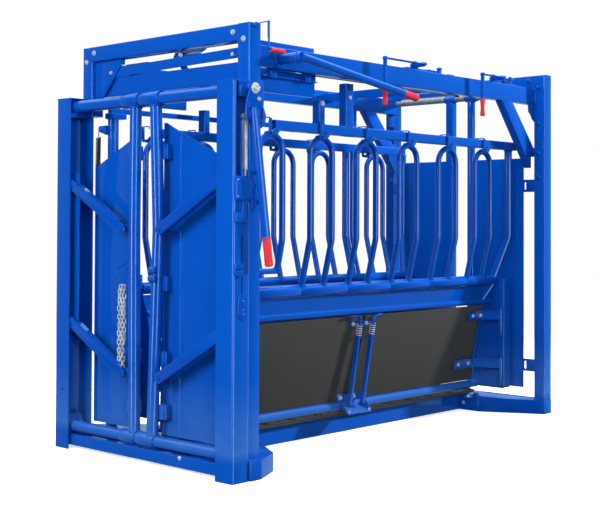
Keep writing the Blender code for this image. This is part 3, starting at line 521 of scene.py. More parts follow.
def link(centre, along, wide, length, width, wire, seg=10, steps=7):
    """One oval chain link."""
    along, wide = V(along).normalized(), V(wide).normalized()
    pts = []
    half = length / 2 - width / 2
    for sign in (1, -1):
        for i in range(steps + 1):
            t = math.pi * (i / steps - 0.5)
            pts.append(V(centre) + along * (sign * half + sign * (width / 2) * math.cos(t)) + wide * (width / 2) * math.sin(t) * sign)
    n = len(pts)
    normal = along.cross(wide)
    bm = bmesh.new()
    rings = []
    for i in range(n):
        t = (pts[(i + 1) % n] - pts[i - 1]).normalized()
        side = normal.cross(t).normalized()
        rings.append([bm.verts.new(pts[i] + (side * math.cos(k * math.tau / seg) + normal * math.sin(k * math.tau / seg)) * wire) for k in range(seg)])
    for i in range(n):
        one, two = rings[i], rings[(i + 1) % n]
        for k in range(seg):
            bm.faces.new((one[k], one[(k + 1) % seg], two[(k + 1) % seg], two[k]))
    return bm


def grip(a, b, r, body_end=0.0, ribs=0, flare=0.0, waist=0.0, seg=48, flutes=0, depth=0.0008):
    """A moulded rubber grip from a to b: end bead, ribs round it, or flutes along it."""
    a, b = V(a), V(b)
    t = (b - a).normalized()
    L = (b - a).length
    side = t.cross(V((0, 0, 1)) if abs(t.z) < 0.9 else V((0, 1, 0))).normalized()
    up = side.cross(t)
    prof = []
    n = 96
    for i in range(n + 1):
        f = i / n
        d = f * L
        rr = r
        if d < 0.006:
            rr = r * (0.90 + 0.13 * math.sin(min(1, d / 0.006) * math.pi / 2)) + 0.0
        if L - d < 0.007:
            rr = r * (1.03 - 0.30 * (1 - (L - d) / 0.007) ** 2)
        if flare and L - d < 0.02:
            rr += flare * math.sin(math.pi * min(1, max(0, (0.02 - (L - d)) / 0.02)))
        if waist:
            rr -= waist * math.sin(math.pi * f) ** 2
        if ribs and 0.008 < d < L - 0.012:
            rr += depth * math.sin(f * ribs * math.tau)
        prof.append((d, rr))
    bm = bmesh.new()
    rings = []
    for d, rr in prof:
        ringv = []
        for k in range(seg):
            ang = k * math.tau / seg
            rk = rr
            if flutes and 0.010 < d < L - 0.014:
                rk -= depth * (0.5 + 0.5 * math.cos(ang * flutes))
            ringv.append(bm.verts.new(a + t * d + (side * math.cos(ang) + up * math.sin(ang)) * rk))
        rings.append(ringv)
    for one, two in zip(rings, rings[1:]):
        for k in range(seg):
            bm.faces.new((one[k], one[(k + 1) % seg], two[(k + 1) % seg], two[k]))
    for ringv in (rings[0], rings[-1]):
        bm.faces.new(ringv)
    return bm


# ---------------------------------------------------------------- finishes
def fresh(name):
    mat = bpy.data.materials.new(name)
    mat.use_nodes = True
    tree = mat.node_tree
    tree.nodes.clear()
    out = tree.nodes.new("ShaderNodeOutputMaterial")
    shader = tree.nodes.new("ShaderNodeBsdfPrincipled")
    tree.links.new(shader.outputs[0], out.inputs[0])
    return mat, tree, shader


def coords(tree):
    return tree.nodes.new("ShaderNodeTexCoord").outputs["Object"]


def noise(tree, vec, scale, detail=4, rough=0.5, stretch=None):
    if stretch:
        m = tree.nodes.new("ShaderNodeMapping")
        m.inputs["Scale"].default_value = stretch
        tree.links.new(vec, m.inputs[0])
        vec = m.outputs[0]
    n = tree.nodes.new("ShaderNodeTexNoise")
    n.inputs["Scale"].default_value = scale
    n.inputs["Detail"].default_value = detail
    n.inputs["Roughness"].default_value = rough
    tree.links.new(vec, n.inputs["Vector"])
    return n.outputs[0]


def ramp(tree, fac, stops):
    n = tree.nodes.new("ShaderNodeValToRGB")
    el = n.color_ramp.elements
    while len(el) < len(stops):
        el.new(0.5)
    for e, (p, c) in zip(el, stops):
        e.position = p
        e.color = (*c, 1) if len(c) == 3 else c
    tree.links.new(fac, n.inputs[0])
    return n.outputs[0]


def span(tree, fac, a, b, c, d):
    n = tree.nodes.new("ShaderNodeMapRange")
    n.clamp = True
    for i, v in enumerate((a, b, c, d)):
        n.inputs[i + 1].default_value = v
    tree.links.new(fac, n.inputs[0])
    return n.outputs[0]


def mixc(tree, fac, a, b, mode="MIX"):
    n = tree.nodes.new("ShaderNodeMix")
    n.data_type = "RGBA"
    n.blend_type = mode
    n.clamp_factor = True
    for sock, val in ((n.inputs[0], fac), (n.inputs[6], a), (n.inputs[7], b)):
        if isinstance(val, bpy.types.NodeSocket):
            tree.links.new(val, sock)
        elif isinstance(val, (int, float)):
            sock.default_value = val
        else:
            sock.default_value = (*val, 1)
    return n.outputs[2]


def maths(tree, op, a, b=None):
    n = tree.nodes.new("ShaderNodeMath")
    n.operation = op
    for sock, val in zip(n.inputs, (a, b)):
        if val is None:
            continue
        if isinstance(val, bpy.types.NodeSocket):
            tree.links.new(val, sock)
        else:
            sock.default_value = val
    return n.outputs[0]


def bump(tree, height, strength, distance, normal=None):
    n = tree.nodes.new("ShaderNodeBump")
    n.inputs["Strength"].default_value = strength
    n.inputs["Distance"].default_value = distance
    tree.links.new(height, n.inputs["Height"])
    if normal:
        tree.links.new(normal, n.inputs["Normal"])
    return n.outputs[0]


def edges(tree, low=0.505, high=0.56):
    g = tree.nodes.new("ShaderNodeNewGeometry")
    return span(tree, g.outputs["Pointiness"], low, high, 0, 1)


def height_above(tree, vec, low, high):
    s = tree.nodes.new("ShaderNodeSeparateXYZ")
    tree.links.new(vec, s.inputs[0])
    return span(tree, s.outputs[2], low, high, 1, 0)


def make_blue(name, base=(0.0006, 0.047, 0.34), deep=(0.0004, 0.036, 0.285), light=(0.0015, 0.090, 0.46)):
    mat, tree, shader = fresh(name)
    vec = coords(tree)
    broad = noise(tree, vec, 2.2, 3, 0.5)
    cloud = noise(tree, vec, 14.0, 4, 0.6)
    fine = noise(tree, vec, 420.0, 2, 0.5)
    peel = noise(tree, vec, 260.0, 2, 0.5)
    wave = noise(tree, vec, 38.0, 2, 0.5)
    col = mixc(tree, span(tree, broad, 0.35, 0.65, 0, 1), base, deep)
    col = mixc(tree, span(tree, cloud, 0.45, 0.75, 0, 0.35), col, base)
    edge = edges(tree)
    col = mixc(tree, maths(tree, "MULTIPLY", edge, 0.45), col, light)
    # a little pale dust near the ground and in broad patches
    low = height_above(tree, vec, 0.0, 0.75)
    dust_n = noise(tree, vec, 7.0, 6, 0.65)
    dust = maths(tree, "MULTIPLY", maths(tree, "MULTIPLY", low, span(tree, dust_n, 0.42, 0.72, 0.0, 1.0)), 0.10)
    col = mixc(tree, dust, col, (0.045, 0.14, 0.33))
    # painted reflection of the pale floor: below about 0.44 m the paint is mixed towards a paler blue, fading out again
    # at the very bottom below 0.13 m
    painted_floor_reflection = maths(tree, "MULTIPLY", height_above(tree, vec, 0.05, 0.44), span(tree, cloud, 0.3, 0.7, 0.22, 0.32))
    painted_floor_reflection = maths(tree, "MULTIPLY", painted_floor_reflection, maths(tree, "SUBTRACT", 1.0, height_above(tree, vec, 0.088, 0.130)))
    col = mixc(tree, painted_floor_reflection, col, (0.10, 0.25, 0.52))
    # fine scuffs
    scuff = noise(tree, vec, 75.0, 2, 0.5, (1.0, 1.0, 0.10))
    col = mixc(tree, maths(tree, "MULTIPLY", span(tree, scuff, 0.70, 0.80, 0, 1), 0.10), col, (0.001, 0.085, 0.42))
    tree.links.new(col, shader.inputs["Base Color"])
    rough = maths(tree, "ADD", span(tree, cloud, 0.3, 0.7, 0.42, 0.52), maths(tree, "MULTIPLY", dust, 1.2))
    tree.links.new(rough, shader.inputs["Roughness"])
    shader.inputs["Specular IOR Level"].default_value = 0.02
    shader.inputs["Coat Weight"].default_value = 0.85
    shader.inputs["Coat Roughness"].default_value = 0.07
    shader.inputs["Coat IOR"].default_value = 1.45
    n1 = bump(tree, peel, 0.10, 0.0006)
    n2 = bump(tree, wave, 0.12, 0.0012, n1)
    n3 = bump(tree, fine, 0.04, 0.0003, n2)
    tree.links.new(n3, shader.inputs["Normal"])
    return mat


def make_red():
    mat, tree, shader = fresh("red_rubber_fine")
    vec = coords(tree)
    col = mixc(tree, span(tree, noise(tree, vec, 22.0, 4, 0.6), 0.3, 0.7, 0, 1), (0.62, 0.026, 0.030), (0.50, 0.017, 0.021))
    col = mixc(tree, maths(tree, "MULTIPLY", edges(tree, 0.51, 0.58), 0.35), col, (0.72, 0.10, 0.09))
    scuff = noise(tree, vec, 140.0, 3, 0.55)
    col = mixc(tree, maths(tree, "MULTIPLY", span(tree, scuff, 0.62, 0.72, 0, 1), 0.25), col, (0.68, 0.18, 0.17))
    tree.links.new(col, shader.inputs["Base Color"])
    tree.links.new(span(tree, noise(tree, vec, 90.0, 2), 0.3, 0.7, 0.42, 0.60), shader.inputs["Roughness"])
    shader.inputs["Specular IOR Level"].default_value = 0.45
    tree.links.new(bump(tree, noise(tree, vec, 900.0, 2), 0.18, 0.0003), shader.inputs["Normal"])
    return mat


def make_black():
    mat, tree, shader = fresh("black_board_fine")
    vec = coords(tree)
    grain = noise(tree, vec, 520.0, 3, 0.6)
    broad = noise(tree, vec, 4.5, 5, 0.6)
    col = mixc(tree, span(tree, broad, 0.3, 0.7, 0, 1), (0.0080, 0.0066, 0.0054), (0.0119, 0.0098, 0.0080))
    col = mixc(tree, span(tree, grain, 0.35, 0.70, 0, 0.55), col, (0.030, 0.028, 0.0255))
    scratch = noise(tree, vec, 30.0, 5, 0.6, (1.0, 0.35, 8.0))
    col = mixc(tree, maths(tree, "MULTIPLY", span(tree, scratch, 0.66, 0.72, 0, 1), 0.18), col, (0.08, 0.077, 0.071))
    col = mixc(tree, maths(tree, "MULTIPLY", edges(tree), 0.4), col, (0.07, 0.067, 0.061))
    tree.links.new(col, shader.inputs["Base Color"])
    tree.links.new(span(tree, grain, 0.3, 0.7, 0.48, 0.68), shader.inputs["Roughness"])
    shader.inputs["Specular IOR Level"].default_value = 0.22
    n1 = bump(tree, grain, 0.35, 0.0005)
    tree.links.new(bump(tree, noise(tree, vec, 60.0, 3), 0.10, 0.0010, n1), shader.inputs["Normal"])
    return mat


def make_zinc(name="zinc_fine", a=(0.62, 0.63, 0.65), b=(0.42, 0.43, 0.45), rough=(0.24, 0.42), spangle=60.0):
    mat, tree, shader = fresh(name)
    vec = coords(tree)
    cell = tree.nodes.new("ShaderNodeTexVoronoi")
    cell.inputs["Scale"].default_value = spangle
    tree.links.new(vec, cell.inputs["Vector"])
    tone = tree.nodes.new("ShaderNodeSeparateColor")
    tree.links.new(cell.outputs["Color"], tone.inputs[0])
    cloud = noise(tree, vec, 45.0, 4, 0.6)
    col = mixc(tree, span(tree, cloud, 0.3, 0.7, 0, 1), a, b)
    col = mixc(tree, maths(tree, "MULTIPLY", tone.outputs[0], 0.25), col, (0.78, 0.79, 0.80))
    tree.links.new(col, shader.inputs["Base Color"])
    shader.inputs["Metallic"].default_value = 0.5
    r = maths(tree, "ADD", span(tree, cloud, 0.3, 0.7, rough[0], rough[1]), maths(tree, "MULTIPLY", tone.outputs[1], 0.10))
    tree.links.new(r, shader.inputs["Roughness"])
    tree.links.new(bump(tree, noise(tree, vec, 380.0, 3), 0.15, 0.0004), shader.inputs["Normal"])
    return mat


def make_dark_steel_and_shade():
    mat, tree, shader = fresh("dark_spring_steel_and_slot_shade")
    vec = coords(tree)
    col = mixc(tree, span(tree, noise(tree, vec, 80.0, 4), 0.35, 0.7, 0, 1), (0.028, 0.028, 0.030), (0.075, 0.070, 0.066))
    tree.links.new(col, shader.inputs["Base Color"])
    shader.inputs["Metallic"].default_value = 0.75
    tree.links.new(span(tree, noise(tree, vec, 120.0, 2), 0.3, 0.7, 0.32, 0.5), shader.inputs["Roughness"])
    return mat


def make_deck():
    mat, tree, shader = fresh("deck_rubber_fine")
    vec = coords(tree)
    grain = noise(tree, vec, 300.0, 3, 0.6)
    dirt = noise(tree, vec, 9.0, 6, 0.65)
    col = mixc(tree, span(tree, dirt, 0.35, 0.70, 0, 1), (0.005, 0.005, 0.0055), (0.014, 0.0133, 0.0125))
    col = mixc(tree, maths(tree, "MULTIPLY", edges(tree), 0.4), col, (0.06, 0.06, 0.06))
    tree.links.new(col, shader.inputs["Base Color"])
    tree.links.new(span(tree, grain, 0.3, 0.7, 0.55, 0.78), shader.inputs["Roughness"])
    tree.links.new(bump(tree, grain, 0.4, 0.0008), shader.inputs["Normal"])
    return mat


MATS = {
    "blue_paint": make_blue("blue_paint_fine"),
    "red_rubber": make_red(),
    "black_board": make_black(),
    "zinc_steel": make_zinc(),
    "deck_rubber": make_deck(),
}
GALV = make_zinc("galvanised_fine", (0.60, 0.61, 0.60), (0.34, 0.35, 0.35), (0.30, 0.55), 140.0)
# DARK is the spring's dark steel and also the painted shade plates behind the yoke's slots
DARK = make_dark_steel_and_shade()
DULL = make_zinc("dull_steel_fine", (0.15, 0.16, 0.18), (0.08, 0.09, 0.11), (0.32, 0.50), 120.0)

BLUE, RED, BLACK, ZINC, DECK = "blue_paint", "red_rubber", "black_board", "zinc_steel", "deck_rubber"

# ---------------------------------------------------------------- the driving dimensions of the frame
FRONT_Y, REAR_Y, POST_X, POST_IN, POST_TOP = -1.365, 1.365, 0.659, 0.546, 1.787
ARCH_X, TUBE, ARCH_Y, ARCH_TOP = 0.618, 0.0765, -1.234, 2.06
GUIDE_Y, GUIDE_TOP_Z, GUIDE_LOW_Z, GUIDE_R, BAR_R = -1.315, 1.743, 0.1115, 0.030, 0.029
PANEL_Y, ARM_X, ARM_IN_X, ARM_Z, ARM_DROP = -1.25, 0.545, 0.1425, (1.343, 0.645), 0.225
BEAM_IN, BEAM_OUT, BEAM_LOW, BEAM_TOP = 0.50, 0.55, 1.88, 1.98
RAIL_Z, LOOP_X, LOOP_R, LOOP_TOP, MID_X, MID_Z, LOW_X, LOW_Z = (1.60, 1.65), 0.41, 0.016, 1.580, 0.345, 0.81, 0.20, 0.165
LOOPS = {
    "near": ((-0.957, -0.797), (-0.594, -0.429), (-0.234, -0.075), (0.126, 0.285), (0.487, 0.655), (0.850, 1.008)),
    "far": ((-0.980, -0.820), (-0.655, -0.495), (-0.332, -0.172), (-0.013, 0.151), (0.315, 0.470), (0.835, 0.998)),
}
DOOR_Y, TRACK_Z, TRACK_R, KICK_X = 1.262, 1.95, 0.018, 0.41
NEAR_BACK, FAR_BACK = -1.266, -1.217
AY0, AY1, RY0 = ARCH_Y, ARCH_Y + TUBE, REAR_Y - TUBE
SHAFT_Y, SHAFT_Z, HZ, LEVER_X = -0.97, 1.922, 2.004, 0.697
PIV_Y, PIV_Z, SQ_X = -1.277, 1.757, 0.700
END_Y, HEAD_Y = 1.150, -1.062
HINGES = ((1.124, 1), (-1.036, -1))
KNUCKLES = ((0.475, 0.634), (0.181, 0.340))


def slant(z):
    return LOW_X + (z - 0.19) * (0.10 / 0.44)


def mirrored(outline):
    return [(-x, y) for x, y in reversed(outline)]


# ---------------------------------------------------------------- base and floor
p = Piece("base_feet", "frame", BLUE)
front_half = [(0.668, -1.262), (0.668, -1.193), (0.587, -1.033), (0.377, -0.904), (0.132, -0.86)]
rear_half = [(0.132, 1.10), (0.27, 1.10), (0.58, 1.27), (0.618, 1.285), (0.618, REAR_Y)]
p.take(prism(front_half + mirrored(front_half), "z", 0.0, 0.088, 0.0025, 2))
p.take(prism(rear_half + mirrored(rear_half), "z", 0.0, 0.085, 0.0025, 2))
p.take(bar((-0.128, 0, 0.045), (0.128, 0, 0.045), 0.12, 0.088, radius=0.006))
for s in (1, -1):
    p.take(bar((s * 0.105, -1.1, 0.0502), (s * 0.105, 1.2, 0.0502), 0.05, 0.0985, radius=0.006, wall=0.004))
    for y in (-0.93,):
        p.take(bar((s * 0.12, y, 0.067), (s * 0.226, y, 0.067), 0.06, 0.063, radius=0.005, end=0.001))
        p.take(folded([(s * 0.176, 0.088), (s * 0.176, 0.1395), (s * 0.224, 0.1395), (s * 0.224, 0.088)], 0.004, 0.004, "y", y - 0.029, y + 0.029))
        p.take(weld([(s * 0.131, y - 0.03, 0.0985), (s * 0.131, y + 0.03, 0.0985)], 0.0026, seed=3))
        for yy in (y - 0.031, y + 0.031):
            p.take(weld([(s * 0.1315, yy, 0.038), (s * 0.1315, yy, 0.096)], 0.0024, seed=4))
    # welds where the rails meet the feet
    p.take(weld([(s * 0.131, -0.8605, 0.004), (s * 0.131, -0.8605, 0.084)], 0.003, seed=5))
    p.take(weld([(s * 0.131, 1.0995, 0.004), (s * 0.131, 1.0995, 0.082)], 0.003, seed=6))
# side bracket and adjuster at the near rear foot, and its mirror image
for s in (1, -1):
    p.take(prism([(s * 0.132, 1.094), (s * 0.272, 1.094), (s * 0.272, 1.100), (s * 0.132, 1.100)], "z", 0.004, 0.0895, 0.0012))
    p.take(disc((s * 0.205, 1.165, 0.084), (s * 0.205, 1.165, 0.094), 0.022, 0.002))
    p.take(disc((s * 0.205, 1.165, 0.0935), (s * 0.205, 1.165, 0.104), 0.014, 0.002))
    p.take(box(s * 0.222, s * 0.258, 1.005, 1.055, 0.088, 0.096, 0.001))
    p.take(box(s * 0.150, s * 0.60, 1.330, 1.336, 0.083, 0.0875, 0.001))
p.done("base_frame")
p = Piece("base_bolts", "frame", ZINC)
for s in (1, -1):
    p.take(hexbolt((s * 0.160, 1.0940, 0.046), (0, -1, 0), 0.017, 0.007, 0.012))
    p.take(disc((s * 0.238, 1.03, 0.095), (s * 0.238, 1.03, 0.108), 0.007, 0.001, 20))
    p.take(hexbolt((s * 0.238, 1.03, 0.0955), (0, 0, 1), 0.018, 0.006, 0.013))
p.done(mat=GALV)

deck = Piece("deck_mat", "frame", DECK)
deck.take(box(-0.168, 0.168, -1.10, 1.20, 0.0998, 0.118, 0.0025, 2))
for i in range(12):
    y = -1.04 + 0.2 * i
    deck.take(prism([(y - 0.020, 0.116), (y + 0.020, 0.116), (y + 0.013, 0.128), (y - 0.013, 0.128)], "x", -0.160, 0.160, 0.0015))
for i in range(11):
    for j in range(7):
        deck.take(box(-0.135 + j * 0.045 - 0.009, -0.135 + j * 0.045 + 0.009, -0.94 + 0.2 * i - 0.003, -0.94 + 0.2 * i + 0.003, 0.117, 0.1212, 0.0012, 1))
deck.done("floor_deck")

# ---------------------------------------------------------------- headgate posts
for side, s, back in (("near", 1, NEAR_BACK), ("far", -1, FAR_BACK)):
    p = Piece(f"post_{side}", "frame", BLUE)
    t = 0.005
    path = [(s * POST_IN, FRONT_Y + t / 2), (s * (POST_X - t / 2), FRONT_Y + t / 2), (s * (POST_X - t / 2), back - t / 2), (s * POST_IN, back - t / 2)]
    p.take(folded(path, t, 0.007, "z", 0.0, POST_TOP - 0.0045))
    cuts = []
    if s > 0:
        cuts = [
            box(POST_X - 0.02, POST_X + 0.03, -1.349, -1.2713, 1.36, 1.712, 0.004),
            box(POST_X - 0.02, POST_X + 0.03, -1.349, -1.3365, 1.70, 1.7790, 0.002),
            prism(stadium((-1.313, 0.967), 0.262, 0.008), "x", POST_X - 0.02, POST_X + 0.02),
        ]
    else:
        cuts = [
            box(-ARCH_X - 0.0003, -ARCH_X + TUBE + 0.0003, ARCH_Y - 0.0003, FAR_BACK + 0.02, 1.6997, POST_TOP + 0.02, 0),
            prism(circle((-0.596, 0.298), 0.006), "y", FRONT_Y - 0.01, FRONT_Y + 0.02),
        ]
    p.done(*(["headgate_posts"] if s > 0 else []), cut=cuts)
    # caps, welds
    q = Piece(f"post_trim_{side}", "frame", BLUE)
    if s > 0:
        q.take(plate([(POST_IN, FRONT_Y), (POST_X, FRONT_Y), (POST_X, back), (POST_IN, back)], "z", POST_TOP - 0.005, POST_TOP, 0.0012,
                     holes=[[(0.618, -1.2975), (0.618, -1.2710), (0.6545, -1.2710), (0.6545, -1.2975)]]))
        q.take(plate([(POST_IN + 0.002, FRONT_Y + 0.004), (POST_X - 0.004, FRONT_Y + 0.004), (POST_X - 0.004, back - 0.004), (POST_IN + 0.002, back - 0.004)], "z", 0.0005, 0.006, 0.001))
    else:
        q.take(plate([(-POST_X, FRONT_Y), (-POST_IN, FRONT_Y), (-POST_IN, ARCH_Y - 0.001), (-ARCH_X - 0.001, ARCH_Y - 0.001), (-ARCH_X - 0.001, back), (-POST_X, back)],
                     "z", POST_TOP - 0.005, POST_TOP, 0.0012))
    q.take(weld([(s * (POST_IN + 0.004), FRONT_Y + 0.0026, POST_TOP - 0.0045), (s * (POST_X - 0.006), FRONT_Y + 0.0026, POST_TOP - 0.0045)], 0.0018, seed=7))
    q.take(weld([(s * (POST_X - 0.0012), FRONT_Y + 0.006, POST_TOP - 0.0045), (s * (POST_X - 0.0012), back - 0.004, POST_TOP - 0.0045)], 0.0018, seed=8))
    # end plates that hold the guide pipes
    for zz0, zz1, bk in ((1.690, 1.7825, ARCH_Y - 0.001 if s < 0 else NEAR_BACK - 0.005), (0.050, 0.170, -1.256 if s < 0 else NEAR_BACK - 0.005)):
        q.take(box(s * 0.578, s * 0.586, FRONT_Y + 0.0045, bk, zz0, zz1, 0.001))
    for z, r in ((GUIDE_TOP_Z, GUIDE_R), (GUIDE_LOW_Z, 0.0285)):
        q.take(weld_ring((s * 0.5775, GUIDE_Y, z), (1, 0, 0), r + 0.0012, 0.0026, seed=9))
    q.done()

p = Piece("guide_pipes", "frame", BLUE)
p.take(tube([(-0.600, GUIDE_Y, GUIDE_TOP_Z), (0.600, GUIDE_Y, GUIDE_TOP_Z)], GUIDE_R, 48))
p.take(tube([(-0.600, GUIDE_Y, GUIDE_LOW_Z), (0.600, GUIDE_Y, GUIDE_LOW_Z)], 0.0285, 48))
p.done()

p = Piece("sill", "frame", BLUE)
p.take(bar((-0.582, -1.315, 0.04525), (0.582, -1.315, 0.04525), 0.056, 0.0565, radius=0.005))
p.take(plate([(-0.64, 0.075), (-0.508, 0.075), (-0.508, 0.10), (-0.60, 0.184), (-0.64, 0.184)], "y", -1.278, -1.272, 0.001))
p.take(box(-0.56, -0.508, -1.30, -1.272, 0.070, 0.084, 0.0015))
p.take(weld([(-0.57, -1.343, 0.0735), (0.57, -1.343, 0.0735)][:1] + [(-0.545, -1.343, 0.0735)], 0.0024, seed=10))
for x in (-0.42, -0.05, 0.40):
    p.take(weld([(x, -1.3405, 0.0765), (x + 0.035, -1.3405, 0.0765)], 0.0026, seed=11))
p.done()
p = Piece("sill_bolt", "frame", ZINC)
p.take(dome((0.283, -1.343, 0.064), (0, -1, 0), 0.009, 0.005, 0.011))
p.done(mat=GALV)

# fittings on the outer face of the near post
p = Piece("post_fittings", "frame", BLUE)
for y0 in (0.56,):
    for z0, z1 in ((0.092, 0.127), (1.66, 1.74)):
        p.take(box(0.56, 0.60, NEAR_BACK - 0.004, ARCH_Y - 0.0003, z0, z1, 0.0015))
# oblong cover with a rolled edge
p.take(prism(stadium((-1.3075, 0.778), 0.118, 0.064), "x", POST_X - 0.002, POST_X + 0.004, 0.0018, 3))
# the two halves of the oval keeper
for up in (1, -1):
    half = [(-1.3640, 0.9425 + up * 0.0022)] + [(-1.3380 - 0.026 * math.cos(math.pi * k / 14), 0.9425 + up * (0.0090 + 0.0250 * math.sin(math.pi * k / 14))) for k in range(15)] + [(-1.3120, 0.9425 + up * 0.0022)]
    p.take(prism(half, "x", POST_X - 0.002, POST_X + 0.0118, 0.0030, 4))
p.take(box(POST_X - 0.001, POST_X + 0.0075, -1.318, -1.313, 0.936, 0.949, 0.001))
# boss over the end of the top guide pipe
p.take(lathe((POST_X - 0.002, GUIDE_Y, GUIDE_TOP_Z), (POST_X + 0.010, GUIDE_Y, GUIDE_TOP_Z), [(0, 0), (0, 0.0195), (0.0060, 0.0195), (0.0080, 0.0185), (0.0090, 0.0160), (0.0090, 0)], 40))
p.take(weld_ring((POST_X + 0.0005, GUIDE_Y, GUIDE_TOP_Z), (1, 0, 0), 0.0200, 0.0018, seed=9))
# lug that carries the latch cam
p.take(box(0.6455, 0.6585, NEAR_BACK - 0.002, -1.230, 1.362, 1.394, 0.0015))
# latch box: bent cover wrapped round the post, with a window beside the bar
p.take(box(POST_X - 0.002, POST_X + 0.0150, -1.362, -1.267, 1.2530, 1.3540, 0.0030, 3))
p.take(box(POST_X + 0.0130, POST_X + 0.0158, -1.3055, -1.2700, 1.2580, 1.3480, 0.0006, 1))
p.take(box(POST_X - 0.001, POST_X + 0.0130, -1.324, -1.310, 1.352, 1.391, 0.0015))
p.take(box(POST_X - 0.001, POST_X + 0.0130, -1.286, -1.272, 1.352, 1.388, 0.0015))
# lower lug with its rounded end and boss
p.take(prism([(-1.362, 1.152), (-1.305, 1.152), (-1.291, 1.158), (-1.286, 1.170), (-1.286, 1.182), (-1.292, 1.194), (-1.305, 1.198), (-1.362, 1.198)], "x", POST_X - 0.002, POST_X + 0.0115, 0.0018))
p.take(disc((POST_X, -1.319, 1.176), (POST_X + 0.0140, -1.319, 1.176), 0.0145, 0.003))
p.take(disc((POST_X, -1.352, 1.184), (POST_X + 0.0135, -1.352, 1.184), 0.0065, 0.0015))
# link between the box and the lug, round hook below
p.take(box(POST_X - 0.001, POST_X + 0.0070, -1.315, -1.288, 1.190, 1.256, 0.0015))
p.take(tube(rounded([(POST_X + 0.006, -1.296, 1.250), (POST_X + 0.009, -1.283, 1.236), (POST_X + 0.009, -1.279, 1.200), (POST_X + 0.009, -1.283, 1.160), (POST_X + 0.008, -1.300, 1.150)], 0.014, 6), 0.0032, 14))
# guide strip inside the window
p.take(box(0.6505, 0.6560, -1.3200, -1.3105, 1.366, 1.613, 0.0012))
p.take(box(0.6480, 0.6535, -1.3110, -1.3035, 1.340, 1.366, 0.0012))
p.take(weld([(POST_X + 0.0005, -1.360, 1.3555), (POST_X + 0.0005, -1.270, 1.3555)], 0.002, seed=12))
p.done()
# pin heads on the oblong cover and on the latch box
p = Piece("cover_pins", "frame", ZINC)
for z in (0.806, 0.765, 0.747):
    p.take(dome((POST_X + 0.004, -1.3070, z), (1, 0, 0), 0.0024, 0.0010))
p.take(dome((POST_X + 0.015, -1.3515, 1.342), (1, 0, 0), 0.0035, 0.0018))
p.take(dome((POST_X + 0.015, -1.3515, 1.268), (1, 0, 0), 0.0035, 0.0018))
p.done(mat=GALV)

# ---------------------------------------------------------------- front arch
p = Piece("front_arch_tubes", "frame", BLUE)
mid = TUBE / 2
r0 = 0.006
p.take(bar((ARCH_X - mid, AY0 + mid, 0.0883), (ARCH_X - mid, AY0 + mid, ARCH_TOP), TUBE, TUBE, (0, 1, 0), r0))
beam = bar((-ARCH_X, AY0 + mid, ARCH_TOP - mid), (ARCH_X - TUBE + 0.002, AY0 + mid, ARCH_TOP - mid), TUBE, TUBE, (0, 0, 1), r0)
# mitre at the far corner, with a hairline seam
trim(beam, (-ARCH_X + 0.0004, 0, ARCH_TOP), (-1, 0, -1))
p.take(beam)
leg = bar((-ARCH_X + mid, AY0 + mid, 1.70), (-ARCH_X + mid, AY0 + mid, ARCH_TOP), TUBE, TUBE, (0, 1, 0), r0)
trim(leg, (-ARCH_X - 0.0004, 0, ARCH_TOP), (1, 0, 1))
p.take(leg)
p.take(weld([(ARCH_X - TUBE + 0.0005, AY0 + 0.001, ARCH_TOP - TUBE + 0.004), (ARCH_X - TUBE + 0.0005, AY0 + 0.001, ARCH_TOP - 0.004)], 0.0016, seed=13))
p.done("front_arch")

p = Piece("header_channel", "frame", BLUE)
p.take(folded([(-1.162, 1.803), (-1.183, 1.803), (-1.183, 1.893)], 0.006, 0.004, "x", -0.545, 0.545))
p.take(plate([(-0.545, 1.99), (-0.336, 1.99), (-0.336, 1.955), (-0.50, 1.775), (-0.545, 1.775)], "y", -1.206, -1.200, 0.001))
p.take(box(-0.545, -0.50, -1.2005, -1.178, 1.80, 1.92, 0.0015))
p.take(box(-0.345, -0.336, -1.2055, -1.180, 1.955, 1.985, 0.001))
p.take(weld([(-0.541, -1.2035, 1.79), (-0.541, -1.2035, 1.97)], 0.0022, seed=14))
# roof plate and the diagonal bar behind the tie bar
p.take(plate([(0.02, -1.156), (0.25, -1.156), (0.05, -1.03), (-0.14, -1.03)], "z", 1.9805, 1.985, 0.001))
p.take(plate([(-0.36, -1.156), (-0.19, -1.156), (-0.19, -1.06), (-0.36, -1.06)], "z", 1.955, 1.960, 0.001))
p.take(bar((0.055, -1.168, 1.965), (0.125, -1.168, 1.875), 0.034, 0.012, (0, 1, 0), 0.003, end=0.001))
p.take(disc((0.092, -1.160, 1.966), (0.092, -1.182, 1.966), 0.016, 0.002))
p.take(tube(rounded([(-0.30, -1.172, 1.884), (-0.30, -1.172, 1.900), (-0.24, -1.172, 1.905), (-0.02, -1.172, 1.915)], 0.01, 4), 0.005, 14))
# eye plate and bosses behind the headgate lever
p.take(plate([(-1.228, 1.72), (-1.165, 1.72), (-1.165, 1.80), (-1.175, 1.806), (-1.215, 1.80)], "x", ARCH_X - 0.002, ARCH_X + 0.0118, 0.0015))
p.take(disc((ARCH_X - 0.002, -1.213, 1.757), (0.650, -1.213, 1.757), 0.018, 0.0025))
p.take(disc((ARCH_X - 0.002, -1.175, 1.622), (0.640, -1.175, 1.622), 0.020, 0.003))
p.take(plate([(-1.226, 1.70), (-1.190, 1.716), (-1.150, 1.680), (-1.132, 1.640), (-1.140, 1.598), (-1.165, 1.580), (-1.190, 1.588), (-1.205, 1.62)], "x", ARCH_X + 0.001, ARCH_X + 0.011, 0.0015))
p.take(disc((ARCH_X + 0.010, -1.163, 1.622), (ARCH_X + 0.020, -1.163, 1.622), 0.017, 0.003))
p.done()
p = Piece("arch_bolts", "frame", ZINC)
